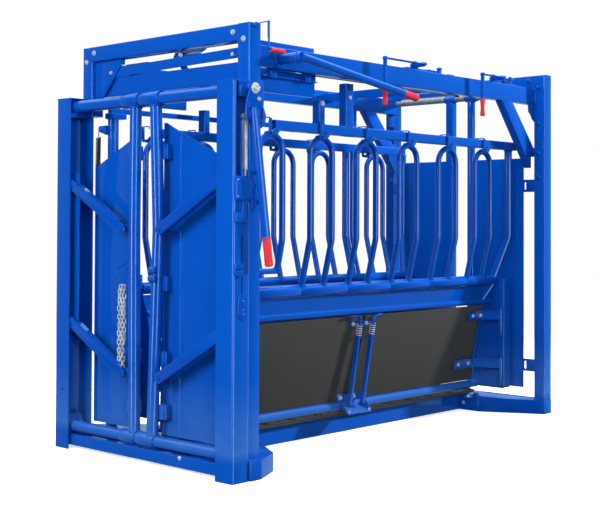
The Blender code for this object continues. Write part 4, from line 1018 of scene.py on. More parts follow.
for x, z in ((-0.524, 2.027), (-0.587, 1.984), (0.512, 2.024), (0.580, 1.987)):
    p.take(hexbolt((x, ARCH_Y, z), (0, -1, 0), 0.0175, 0.006, 0.0135, turn=0.2 + 3 * x))
p.take(hexbolt((-0.417, -1.206, 1.918), (0, -1, 0), 0.014, 0.005, 0.010))
p.take(hexbolt((0.092, -1.182, 1.966), (0, -1, 0), 0.016, 0.006, 0.012))
p.done(mat=GALV)

p = Piece("tie_bar", "frame", BLUE)
tie = bar((-0.4985, -1.196, 1.9165), (0.512, -1.196, 1.9345), 0.006, 0.048, radius=0.002, end=0.0008)
p.take(tie)
p.take(disc((0.481, -1.2050, 1.929), (0.481, -1.1930, 1.929), 0.019, 0.002))
p.take(disc((-0.448, -1.2000, 1.924), (-0.448, -1.1930, 1.924), 0.015, 0.0015))
p.done("head_tie_bar")
p = Piece("tie_bar_bolt", "frame", ZINC)
p.take(hexbolt((0.481, -1.2050, 1.929), (0, -1, 0), 0.017, 0.006, 0.0))
p.done(mat=GALV)

# ---------------------------------------------------------------- far side pipe with the far rail over it
p = Piece("far_pipe", "frame", BLUE)
p.take(tube([(-0.50, -1.125, 0.0883), (-0.50, -1.125, 1.700)], 0.0285, 44))
p.take(bar((-0.50, -1.156, 1.7052), (-0.50, -1.06, 1.7052), 0.06, 0.030, radius=0.004, end=0.001))
p.take(bar((-0.50, -1.150, 1.7335), (-0.50, 0.970, 1.7335), 0.030, 0.027, radius=0.004, end=0.001))
for y0, y1 in ((-0.30, -0.27), (0.80, 0.83)):
    p.take(bar((-0.50, (y0 + y1) / 2, 1.74), (-0.50, (y0 + y1) / 2, 1.8797), 0.024, 0.03, (0, 1, 0), 0.003))
p.take(weld_ring((-0.50, -1.125, 0.0895), (0, 0, 1), 0.0295, 0.0028, seed=15))
p.take(weld_ring((-0.50, -1.125, 1.690), (0, 0, 1), 0.0290, 0.0024, seed=16))
# lug for the spring
p.take(plate([(-1.170, 1.655), (-1.214, 1.648), (-1.222, 1.632), (-1.214, 1.618), (-1.170, 1.605)], "x", -0.504, -0.497, 0.001))
p.take(disc((-0.5105, -1.208, 1.633), (-0.490, -1.208, 1.633), 0.008, 0.0015))
p.take(box(-0.504, -0.497, -1.175, -1.150, 1.606, 1.654, 0.001))
p.done("far_side_pipe")
p = Piece("gate_spring", "frame", ZINC)
sp = [V((-0.500, -1.205, 1.640)), V((-0.500, -1.221, 1.590)), V((-0.500, -1.223, 1.440)), V((-0.500, -1.225, 1.378))]
p.take(helix(sp[1], sp[2], 0.0112, 0.0028, 21))
p.take(tube(rounded([sp[0] + V((0, 0.004, 0.006)), sp[0] + V((0, -0.008, 0.004)), sp[0] + V((0, -0.012, -0.014)), sp[1] + V((0, 0, 0.002))], 0.006, 5), 0.0026, 10))
p.take(tube(rounded([sp[2], sp[2] + V((0, 0, -0.018)), sp[3] + V((0, 0.010, -0.004)), sp[3] + V((0, 0.014, 0.008))], 0.006, 5), 0.0026, 10))
p.done(mat=DARK)
p = Piece("spring_hook", "frame", ZINC)
p.take(link(sp[2] + V((0, -0.001, -0.030)), (0, 0, 1), (1, 0, 0), 0.028, 0.014, 0.0020))
p.take(link(sp[2] + V((0, -0.001, -0.050)), (0, 0, 1), (0, 1, 0), 0.028, 0.014, 0.0020))
p.done(mat=GALV)

# ---------------------------------------------------------------- rear frame
p = Piece("rear_frame_tubes", "frame", BLUE)
cy = REAR_Y - mid
beam = bar((-ARCH_X, cy, ARCH_TOP - mid), (ARCH_X, cy, ARCH_TOP - mid), TUBE, TUBE, (0, 0, 1), r0)
trim(beam, (-ARCH_X + 0.0004, 0, ARCH_TOP), (-1, 0, -1))
trim(beam, (ARCH_X - 0.0004, 0, ARCH_TOP), (1, 0, -1))
p.take(beam)
for s in (1, -1):
    leg = bar((s * (ARCH_X - mid), cy, 0.0853), (s * (ARCH_X - mid), cy, ARCH_TOP), TUBE, TUBE, (0, 1, 0), r0)
    trim(leg, (s * (ARCH_X + 0.0004), 0, ARCH_TOP), (-s, 0, 1))
    p.take(leg)
    p.take(weld([(s * (ARCH_X - TUBE + 0.002), RY0 - 0.0005, 0.0868), (s * (ARCH_X - 0.002), RY0 - 0.0005, 0.0868)], 0.003, seed=17))
    for z in (1.386, 0.288):
        x0, x1 = s * 0.462, s * 0.545
        hole = stadium((s * 0.478, z), 0.048, 0.012)
        p.take(plate([(x0, z - 0.034), (x0 + s * 0.004, z - 0.038), (x1, z - 0.038), (x1, z + 0.038), (x0 + s * 0.004, z + 0.038), (x0, z + 0.034)],
                     "y", RY0 + 0.004, RY0 + 0.010, 0.001, holes=[hole]))
        p.take(weld([(s * 0.5425, RY0 + 0.0045, z - 0.030), (s * 0.5425, RY0 + 0.0045, z + 0.030)], 0.0026, seed=18))
        p.take(disc((s * 0.520, RY0 + 0.004, z), (s * 0.520, RY0 - 0.002, z), 0.008, 0.001))
    for z in (1.985, 1.766, 1.583, 1.440):
        p.take(dome((s * 0.572, RY0, z), (0, -1, 0), 0.0125, 0.0075, 0.015))
p.take(dome((0.505, RY0, 2.031), (0, -1, 0), 0.0125, 0.0075, 0.015))
p.take(dome((-0.505, RY0, 2.031), (0, -1, 0), 0.0125, 0.0075, 0.015))
p.done("rear_frame")
p = Piece("track_rod", "frame", ZINC)
p.take(tube([(-BEAM_IN + 0.0003, DOOR_Y, TRACK_Z), (BEAM_IN - 0.0003, DOOR_Y, TRACK_Z)], TRACK_R, 40))
p.done("tailgate_track", mat=DULL)

# ---------------------------------------------------------------- roof beams
BY0, BY1 = AY1 + 0.0003, RY0 - 0.0003
for side, s in (("near", 1), ("far", -1)):
    p = Piece(f"roof_beam_{side}", "frame", BLUE)
    p.take(bar((s * 0.525, BY0, 1.93), (s * 0.525, BY1, 1.93), 0.05, 0.10, radius=0.005))
    p.take(plate([(0.912, 1.90), (1.022, 1.90), (BY1, 1.600), (BY1, 1.562), (1.245, 1.562), (1.245, 1.90 - 0.333 * 0.460 / (BY1 - 0.912))],
                 "x", min(s * 0.5005, s * 0.5495), max(s * 0.5005, s * 0.5495), 0.002))
    # link channel under the beam
    p.take(folded([(s * 0.4985, 1.7725), (s * 0.4765, 1.7725), (s * 0.4765, 1.8475), (s * 0.4985, 1.8475)], 0.005, 0.004, "y", -1.03, -0.64))
    for y0, y1 in ((-0.98, -0.94), (-0.74, -0.70)):
        p.take(box(s * 0.480, s * 0.510, y0, y1, 1.84, 1.885, 0.0015))
    p.take(weld([(s * 0.551, BY1 - 0.001, 1.886), (s * 0.551, BY1 - 0.001, 1.974)], 0.0036, seed=19))
    p.take(weld([(s * 0.551, BY0 + 0.001, 1.886), (s * 0.551, BY0 + 0.001, 1.974)], 0.0030, seed=20))
    p.take(weld([(s * 0.545, BY1 - 0.002, 1.567), (s * 0.545, BY1 - 0.002, 1.617)], 0.0036, seed=21))
    # stepped gusset under the rear end of the beam
    p.take(plate([(1.218, 1.8805), (BY1, 1.8805), (BY1, 1.775), (1.262, 1.793), (1.245, 1.818), (1.222, 1.835)], "x", min(s * 0.548, s * 0.5415), max(s * 0.548, s * 0.5415), 0.001)
           if s > 0 else box(-0.548, -0.5415, 1.23, BY1, 1.80, 1.885, 0.001))
    if s > 0:
        p.take(box(0.4840, 0.4880, -0.941, -0.739, 1.8465, 1.8820, 0.001))
        p.take(box(0.4840, 0.4880, -0.701, -0.642, 1.8465, 1.8820, 0.001))
        p.take(ring((BEAM_OUT - 0.002, SHAFT_Y, SHAFT_Z), (BEAM_OUT + 0.014, SHAFT_Y, SHAFT_Z), 0.040, 0.0262))
        p.take(weld_ring((BEAM_OUT + 0.001, SHAFT_Y, SHAFT_Z), (1, 0, 0), 0.0415, 0.0026, seed=22))
    p.done(*(["top_beams"] if s > 0 else []))
p = Piece("roof_ties", "frame", BLUE)
for y0, y1 in ((-0.66, -0.60), (0.55, 0.60)):
    p.take(bar((-0.5, (y0 + y1) / 2, 1.94), (0.5, (y0 + y1) / 2, 1.94), y1 - y0, 0.05, radius=0.004))
    for s in (1, -1):
        p.take(weld([(s * 0.498, y0 + 0.002, 1.966), (s * 0.498, y1 - 0.002, 1.966)], 0.0026, seed=23))
# fittings on top of the near beam: raised plate, pads, lugs, roller
p.take(plate([(-1.12, BEAM_TOP - 0.002), (-0.697, BEAM_TOP - 0.002), (-0.697, BEAM_TOP + 0.026), (-1.12, BEAM_TOP + 0.026)], "x", 0.520, 0.526, 0.001))
for y0, y1 in ((0.02, 0.19), (0.80, 0.92)):
    p.take(box(0.505, 0.545, y0, y1, BEAM_TOP - 0.001, BEAM_TOP + 0.008, 0.0015))
for y in (0.100, 0.859):
    p.take(plate([(y - 0.028, BEAM_TOP), (y + 0.028, BEAM_TOP), (y + 0.028, HZ), (y + 0.020, HZ + 0.020), (y, HZ + 0.024), (y - 0.020, HZ + 0.020), (y - 0.028, HZ)],
                 "x", 0.530, 0.540, 0.001, holes=[circle((y, HZ), 0.0135)]))
    p.take(weld([(0.5415, y - 0.026, BEAM_TOP + 0.001), (0.5415, y + 0.026, BEAM_TOP + 0.001)], 0.0028, seed=24))
p.take(disc((0.505, 0.269, BEAM_TOP - 0.002), (0.505, 0.269, BEAM_TOP + 0.012), 0.016, 0.002))
p.take(disc((0.505, 0.269, BEAM_TOP + 0.0122), (0.505, 0.269, BEAM_TOP + 0.020), 0.0105, 0.002))
# oval pads, knob and stacked plates near the rear handle
p.take(prism(stadium((0.528, 0.232), 0.115, 0.034), "z", BEAM_TOP - 0.001, BEAM_TOP + 0.006, 0.0015))
p.take(prism(stadium((0.528, 0.262), 0.120, 0.030), "z", BEAM_TOP + 0.0055, BEAM_TOP + 0.0115, 0.0015))
p.take(box(0.508, 0.542, 0.40, 0.455, BEAM_TOP - 0.001, BEAM_TOP + 0.005, 0.0015))
p.take(disc((0.530, 0.330, BEAM_TOP - 0.001), (0.530, 0.330, BEAM_TOP + 0.026), 0.013, 0.003))
p.take(dome((0.530, 0.330, BEAM_TOP + 0.0255), (0, 0, 1), 0.0165, 0.012))
p.take(box(0.508, 0.545, 0.955, 1.075, BEAM_TOP - 0.001, BEAM_TOP + 0.007, 0.0015))
p.take(box(0.512, 0.541, 0.965, 1.055, BEAM_TOP + 0.014, BEAM_TOP + 0.021, 0.0015))
p.take(box(0.512, 0.541, 0.985, 1.072, BEAM_TOP + 0.030, BEAM_TOP + 0.037, 0.0015))
for y in (0.985, 1.045):
    p.take(disc((0.527, y, BEAM_TOP), (0.527, y, BEAM_TOP + 0.046), 0.009, 0.002))
    p.take(dome((0.527, y, BEAM_TOP + 0.0455), (0, 0, 1), 0.012, 0.007))
p.take(tube(rounded([(0.527, 0.93, BEAM_TOP + 0.004), (0.527, 0.945, BEAM_TOP + 0.034), (0.527, 0.985, BEAM_TOP + 0.034)], 0.01, 4), 0.006, 14))
p.done()
p = Piece("roof_linkage", "frame", ZINC)
# pull rods that run along the roof inside the near beam, with their bell crank
p.take(tube([(0.455, -0.60, 1.905), (0.455, 0.44, 1.905)], 0.005, 14))
p.take(tube([(0.440, -0.60, 1.890), (0.440, 0.62, 1.890)], 0.005, 14))
p.take(dome((0.4335, 0.62, 1.890), (1, 0, 0), 0.008, 0.005, 0.010))
p.done(mat=GALV)
p = Piece("roof_linkage_plates", "frame", BLUE)
p.take(prism(stadium((0.447, 0.535), 0.24, 0.040), "z", 1.8965, 1.9015, 0.001))
p.take(disc((0.447, 0.62, 1.880), (0.447, 0.62, 1.908), 0.012, 0.002))
p.take(bar((0.447, -0.62, 1.885), (0.447, -0.62, 1.925), 0.03, 0.012, (0, 1, 0), 0.002))
p.done()

# ---------------------------------------------------------------- headgate leaves
SIDES = {
    "right": dict(s=1, bar=((0.068, 1.710), (0.093, 1.115), (0.055, 0.135)), top=(-0.022, 0.112), low=(-0.036, 0.090)),
    "left": dict(s=-1, bar=((-0.082, 1.710), (-0.0875, 1.114), (-0.080, 0.135)), top=(-0.167, -0.044), low=(-0.158, -0.051)),
}
PANELS = {
    "right": [(0.071, 0.132), (0.463, 0.132), (0.463, 1.457), (0.155, 1.592), (0.071, 1.633)],
    "left": [(-0.463, 0.137), (-0.122, 0.137), (-0.122, 1.596), (-0.207, 1.556), (-0.463, 1.439)],
}
for side, d in SIDES.items():
    s, body = d["s"], f"gate_{side}"
    p = Piece(f"neck_tube_{side}", body, BLUE)
    path = [(x, GUIDE_Y, z) for x, z in d["bar"]]
    path[0] = (path[0][0], GUIDE_Y, GUIDE_TOP_Z - 0.030)
    path[-1] = (path[-1][0], GUIDE_Y, GUIDE_LOW_Z + 0.028)
    p.take(tube(rounded(path, 0.25, 8), BAR_R, 44))
    for lo, hi, z, r, core in ((*d["top"], GUIDE_TOP_Z, 0.0375, 0.0312), (*d["low"], GUIDE_LOW_Z, 0.0360, 0.0297)):
        p.take(ring((lo, GUIDE_Y, z), (hi, GUIDE_Y, z), r, core))
    for pt, sgn in ((path[0], -1), (path[-1], 1)):
        z = pt[2] + sgn * 0.0045
        p.take(weld_ring((pt[0], GUIDE_Y, z), (0, 0, 1), BAR_R + 0.0015, 0.0030, seed=25))
    for z in ARM_Z:
        zi = z - ARM_DROP
        x0, x1 = sorted((s * 0.085, s * 0.160))
        outline = [(s * 0.085, zi - 0.026), (s * 0.142, zi - 0.026), (s * 0.157, zi - 0.018), (s * 0.162, zi), (s * 0.157, zi + 0.018), (s * 0.142, zi + 0.026), (s * 0.085, zi + 0.026)]
        p.take(plate(outline, "y", -1.3240, -1.3160, 0.001))
        p.take(weld([(s * 0.1185, -1.3250, zi - 0.024), (s * 0.1185, -1.3250, zi + 0.024)], 0.0028, seed=26))
        p.take(disc((s * ARM_IN_X, -1.318, zi), (s * ARM_IN_X, -1.3625, zi), 0.0085, 0.0008))
    for z in (1.49, 0.86, 0.50, 0.25):
        near_x, far_x = (0.082, 0.116) if s > 0 else (-0.100, -0.160)
        x0, x1 = min(near_x, far_x), max(near_x, far_x)
        p.take(box(x0, x1, -1.300, PANEL_Y - 0.0018, z - 0.035, z + 0.035, 0.002))
        if s > 0:
            p.take(box(0.088, 0.124, -1.2905, -1.2845, z - 0.034, z + 0.034, 0.0015))
            for zz in (z - 0.035, z + 0.035):
                p.take(weld([(0.096, -1.2900, zz), (0.124, -1.2900, zz)], 0.0020, seed=27))
            p.take(weld([(0.1245, -1.2880, z - 0.034), (0.1245, -1.2880, z + 0.034)], 0.0026, seed=28))
    if s > 0:
        for z in (0.925, 0.885):
            p.take(lathe((0.066, -1.347, z), (0.112, -1.347, z), [(0, 0), (0, 0.012), (0.002, 0.0155), (0.005, 0.017), (0.041, 0.017), (0.044, 0.0155), (0.046, 0.012), (0.046, 0)], 30))
            p.take(box(0.072, 0.106, -1.347, -1.330, z - 0.0155, z + 0.0155, 0.002))
    else:
        # blue wire hook that carries the chain
        p.take(tube(rounded([(-0.110, -1.318, 0.985), (-0.124, -1.325, 0.978), (-0.128, -1.325, 0.955), (-0.205, -1.325, 0.925), (-0.207, -1.325, 0.905), (-0.172, -1.325, 0.845), (-0.168, -1.325, 0.828), (-0.158, -1.325, 0.823), (-0.149, -1.325, 0.835)], 0.014, 5), 0.0034, 14))
        p.take(disc((-0.1425, -1.3620, 1.118), (-0.1425, -1.3642, 1.118), 0.0075, 0.001))
    p.done(f"neck_bar_{side}")

    # the sheet with a strip along its outer edge; the right sheet also has a pressed bend and a strip along its inner
    # edge
    q = Piece(f"panel_{side}", body, BLUE)
    q.take(plate(PANELS[side], "y", PANEL_Y - 0.0015, PANEL_Y + 0.0015, 0.0007))
    out = PANELS[side]
    if s > 0:
        q.take(folded([(0.166, PANEL_Y - 0.0014), (0.170, PANEL_Y - 0.0036), (0.180, PANEL_Y - 0.0036), (0.184, PANEL_Y - 0.0014)], 0.0006, 0.002, "z", 0.14, 1.568))
        q.take(bar((0.4610, PANEL_Y - 0.0100, 0.134), (0.4610, PANEL_Y - 0.0100, 1.455), 0.003, 0.018, (0, 1, 0), 0.001))
        q.take(bar((0.0725, PANEL_Y - 0.0085, 0.134), (0.0725, PANEL_Y - 0.0085, 1.630), 0.003, 0.014, (0, 1, 0), 0.001))
        q.take(plate([(0.030, 0.150), (0.0735, 0.150), (0.0735, 1.600), (0.052, 1.600), (0.056, 1.115)], "y", PANEL_Y + 0.0006, PANEL_Y + 0.0032, 0.0005))
    else:
        q.take(bar((-0.4610, PANEL_Y - 0.0100, 0.139), (-0.4610, PANEL_Y - 0.0100, 1.437), 0.003, 0.018, (0, 1, 0), 0.001))
    q.done(f"head_panel_{side}")

    q = Piece(f"slide_plate_{side}", f"slider_{side}", BLUE)
    x0, x1 = sorted((s * 0.526, s * 0.620))
    q.take(plate([(x0, 0.590), (x0 + 0.006, 0.585), (x1 - 0.006, 0.585), (x1, 0.590), (x1, 1.400), (x1 - 0.006, 1.405), (x0 + 0.006, 1.405), (x0, 1.400)], "y", -1.3238, -1.3140, 0.0015))
    q.done(f"slider_{side}")
    for level, z in zip(("upper", "lower"), ARM_Z):
        outer, inner = V((s * ARM_X, z)), V((s * ARM_IN_X, z - ARM_DROP))
        middle, reach = (outer + inner) / 2, outer - inner
        angle = math.degrees(math.atan2(reach.y, reach.x))
        length = reach.length
        q = Piece(f"link_{level}_{side}", f"arm_{level}_{side}", BLUE)
        q.take(plate(stadium(middle, length + 0.052, 0.054, angle), "y", -1.3565, -1.3515, 0.0012, holes=[circle(inner, 0.0092)]))
        unit = reach.normalized()
        across = V((-unit.y, unit.x))
        for edge in (1, -1):
            a = middle + unit * (length / 2 - 0.046) + across * edge * 0.0246
            b = middle - unit * (length / 2 - 0.046) + across * edge * 0.0246
            q.take(bar((a.x, -1.3405, a.y), (b.x, -1.3405, b.y), 0.0048, 0.0310, (0, 1, 0), 0.0015, end=0.001))
        q.take(disc((outer.x, -1.3245, outer.y), (outer.x, -1.3600, outer.y), 0.0105, 0.0012))
        q.take(disc((outer.x, -1.3560, outer.y), (outer.x, -1.3580, outer.y), 0.0165, 0.0006))
        q.done(f"arm_{level}_{side}")

# chain hung on its hook, three strands side by side
p = Piece("gate_chain", "gate_left", ZINC)
rnd = random.Random(11)
for strand, (x, drop, phase) in enumerate(((-0.183, 0.40, 0), (-0.171, 0.44, 1), (-0.160, 0.415, 0), (-0.1495, 0.30, 1))):
    pitch = 0.0205
    count = int(drop / pitch)
    for i in range(count):
        z = 0.832 - i * pitch
        sway = 0.0022 * math.sin(i * 0.9 + strand * 2.0) + rnd.uniform(-0.0007, 0.0007)
        across = V((0.80, -0.60, 0)) if (i + phase) % 2 == 0 else V((0.60, 0.80, 0))
        p.take(link((x + sway - 0.004 * (i / max(count, 1)) * (1 if strand < 2 else -0.2), -1.3262 - 0.0035 * (strand % 2), z), (0.04 * math.sin(i + strand), 0, 1), across, 0.0300, 0.0165, 0.0027, 8, 5))
p.done(mat=GALV)

# ---------------------------------------------------------------- headgate lever and friction latch
p = Piece("lever_arm", "headgate_lever", BLUE)
top, end = V((LEVER_X, -1.2800, 1.666)), V((LEVER_X, -1.199, 1.091))
along = (end - top).normalized()
# the tube is squeezed flat where it is welded between the yoke's cheeks
p.take(tube([top + along * d for d in (0.0, 0.012, 0.05, 0.10, 0.14)] + [end + along * 0.02], 0.019, 40, radii=[0.0120, 0.0145, 0.0170, 0.0186, 0.019, 0.019]))
yoke = [(-1.2936, 1.7860), (-1.2936, 1.7450), (-1.3140, 1.6960), (-1.3185, 1.6620), (-1.3190, 1.6180), (-1.3150, 1.6120), (-1.2740, 1.6075), (-1.2540, 1.6380), (-1.2400, 1.6300),
        (-1.2340, 1.6040), (-1.2200, 1.6000), (-1.2090, 1.6120), (-1.2100, 1.6500), (-1.2070, 1.7000), (-1.2080, 1.7620), (-1.2100, 1.7870)]
p.take(plate(yoke, "x", 0.6795, 0.6875, 0.0014, holes=[stadium((-1.2900, 1.6380), 0.046, 0.0125, 92), stadium((-1.2215, 1.6340), 0.044, 0.0150, 88)]))
p.take(disc((POST_X + 0.0003, PIV_Y, PIV_Z), (0.6796, PIV_Y, PIV_Z), 0.019, 0.002))
p.take(disc((0.6605, -1.2975, 1.645), (0.6796, -1.2975, 1.645), 0.009, 0.001))
for zz in (1.650, 1.690):
    p.take(weld([(0.6880, -1.3040 + (1.70 - zz) * 0.14, zz), (0.6880, -1.3000 + (1.70 - zz) * 0.14, zz - 0.03)], 0.0022, seed=29))
p.done("headgate_lever")
p = Piece("lever_bolts", "headgate_lever", ZINC)
p.take(hexbolt((0.6875, -1.2620, 1.7525), (1, 0, 0), 0.034, 0.013, 0.0250, 0.15))
p.take(hexbolt((0.6875, -1.2400, 1.7050), (1, 0, 0), 0.0135, 0.006, 0.0098, 0.5))
p.done(mat=GALV)
# painted shade: near-black plates just behind the yoke's slots stand in for the shade in the hollow behind them
p = Piece("yoke_slot_shade_plates", "headgate_lever", ZINC)
p.take(box(0.6782, 0.6792, -1.2975, -1.2825, 1.612, 1.664, 0.0003, 1))
p.take(box(0.6782, 0.6792, -1.2300, -1.2130, 1.610, 1.658, 0.0003, 1))
p.done(mat=DARK)
p = Piece("lever_grip_rubber", "headgate_lever", RED)
g_end = V((LEVER_X, -1.1795, 0.955))
p.take(grip(end + along * 0.0006, g_end, 0.0196, flutes=16, depth=0.0011, flare=0.0))
p.done("headgate_grip")
p = Piece("lever_grip_studs", "headgate_lever", ZINC)
gdir = (g_end - end).normalized()
for off in (-0.008, 0.008):
    p.take(dome(V((LEVER_X + 0.0188, 0, 0)) + V((0, g_end.y, g_end.z)) - gdir * 0.016 + V((0, off, 0)), (1, 0, 0), 0.0022, 0.0010))
p.done(mat=GALV)

p = Piece("ribbed_bar", "friction_bar", ZINC)
for k in range(4):
    x0 = 0.6352 + 0.0046 * k
    p.take(box(x0, x0 + 0.0040, -1.2915, -1.2740, 1.16, 1.640, 0.0010))
for k in range(3):
    y0 = -1.2900 + 0.0056 * k
    p.take(box(0.636, 0.6536, y0, y0 + 0.0048, 1.1605, 1.6395, 0.0010))
p.take(disc((0.637, -1.292, 1.628), (0.6534, -1.292, 1.628), 0.0118, 0.0015))
p.done("friction_bar", mat=make_zinc("friction_bar_fine", (0.56, 0.57, 0.58), (0.30, 0.31, 0.32), (0.30, 0.48), 90.0))

p = Piece("cam_plate", "latch_cam", BLUE)
p.take(plate([(-1.2655, 1.390), (-1.2560, 1.3940), (-1.2330, 1.3920), (-1.2260, 1.3800), (-1.2255, 1.3540), (-1.2330, 1.3200), (-1.2350, 1.2840), (-1.2050, 1.2600), (-1.1980, 1.2500),
              (-1.1975, 1.2400), (-1.2080, 1.2320), (-1.2390, 1.2340), (-1.2420, 1.2180), (-1.2500, 1.2050), (-1.2600, 1.2110), (-1.2655, 1.2390)], "x", 0.6605, 0.6680, 0.0014,
             holes=[circle((-1.2475, 1.316), 0.0058)]))
p.take(disc((0.6588, -1.242, 1.378), (0.6745, -1.242, 1.378), 0.0115, 0.0020))
p.take(dome((0.6742, -1.242, 1.378), (1, 0, 0), 0.0070, 0.0024))
p.take(disc((0.6640, -1.211, 1.247), (0.6760, -1.211, 1.247), 0.0110, 0.0022))
p.take(disc((0.6640, -1.247, 1.291), (0.6715, -1.247, 1.291), 0.0058, 0.0012))
p.take(disc((0.6640, -1.254, 1.350), (0.6705, -1.254, 1.350), 0.0045, 0.0010))
p.take(weld([(0.6685, -1.262, 1.368), (0.6685, -1.262, 1.300)], 0.0018, seed=31))
p.done("latch_cam")

p = Piece("trip_handle", "trip_lever", BLUE)
# flat bar over the top, then a rod down to the grip
p.take(bar((0.628, -1.215, 2.0505), (0.628, -1.119, 2.0765), 0.020, 0.005, (0, -0.26, 1), 0.0015, end=0.0008))
p.take(bar((0.628, -1.1185, 2.0790), (0.628, -1.1185, 2.000), 0.0125, 0.0045, (1, 0, 0), 0.0012, end=0.0008))
p.take(tube(rounded([(0.628, -1.117, 2.045), (0.628, -1.117, 1.950), (0.628, -1.080, 1.945)], 0.010, 6), 0.0050, 18))
p.take(disc((ARCH_X + 0.0003, -1.205, 2.050), (0.6378, -1.205, 2.050), 0.0115, 0.002))
p.done("trip_lever")
p = Piece("trip_rubber", "trip_lever", RED)
p.take(grip((0.628, -1.1045, 1.9468), (0.628, -1.013, 1.9460), 0.0108, ribs=0, flutes=0, waist=0.0))
faded = make_red()
faded.name = "red_rubber_faded"
p.done("trip_grip")

# ---------------------------------------------------------------- squeeze lever
p = Piece("squeeze_arm", "squeeze_lever", BLUE)
p.take(tube([(0.462, SHAFT_Y, SHAFT_Z), (SQ_X + 0.001, SHAFT_Y, SHAFT_Z)], 0.0245, 44))
a, b = V((SQ_X, SHAFT_Y - 0.004, SHAFT_Z)), V((SQ_X, -0.212, 1.816))
p.take(tube([a, b + (b - a).normalized() * 0.02], 0.0190, 40))
p.take(weld_ring((SQ_X - 0.020, SHAFT_Y, SHAFT_Z), (1, 0, 0), 0.0250, 0.0026, seed=30))
p.take(disc((SQ_X - 0.002, SHAFT_Y, SHAFT_Z), (SQ_X + 0.0038, SHAFT_Y, SHAFT_Z), 0.0235, 0.0015))
p.take(weld_ring((SQ_X + 0.0020, SHAFT_Y, SHAFT_Z), (1, 0, 0), 0.0215, 0.0016, seed=31))
p.take(plate([(-0.995, 1.945), (-0.945, 1.945), (-0.905, 1.800), (-0.935, 1.795)], "x", 0.463, 0.472, 0.0012))
p.done("squeeze_lever")
p = Piece("squeeze_rubber", "squeeze_lever", RED)
ga, gb = V((SQ_X, -0.2113, 1.8159)), V((SQ_X, -0.0955, 1.7998))
p.take(grip(ga, gb, 0.0194, flutes=18, depth=0.0011))
p.done("squeeze_grip")

# ---------------------------------------------------------------- tailgate handles
for name, hub_y, rod_y, low, tip in (("front", 0.100, -0.234, 1.842, 1.760), ("rear", 0.859, 0.650, 1.858, 1.765)):
    body = f"tail_handle_{name}"
    p = Piece(f"handle_{name}", body, BLUE)
    p.take(disc((0.512, hub_y, HZ), (0.5975, hub_y, HZ), 0.0127, 0.0015))
    p.take(disc((0.596, hub_y, HZ), (0.6105, hub_y, HZ), 0.0095, 0.0015))
    # twin rods back to the hub, with a flat bar hanging down at the front
    for dx in (-0.0068, 0.0068):
        p.take(tube([(0.600 + dx, hub_y + 0.012, HZ), (0.600 + dx, rod_y + 0.004, HZ)], 0.0042, 16))
    p.take(bar((0.600, rod_y, HZ + 0.0085), (0.600, rod_y, low + 0.004), 0.0215, 0.0100, (0, 1, 0), 0.002, end=0.001))
    p.take(disc((0.5885, rod_y, HZ), (0.6105, rod_y, HZ), 0.0090, 0.002))
    p.take(dome((0.600, rod_y, HZ + 0.0075), (0, 0, 1), 0.0085, 0.0030))
    p.done(f"tail_handle_{name}")
    q = Piece(f"handle_rubber_{name}", body, RED)
    q.take(grip((0.600, rod_y, low - 0.0003), (0.600, rod_y, tip), 0.0142, waist=0.0032, ribs=0, flare=0.0))
    q.done(f"tail_grip_{name}")

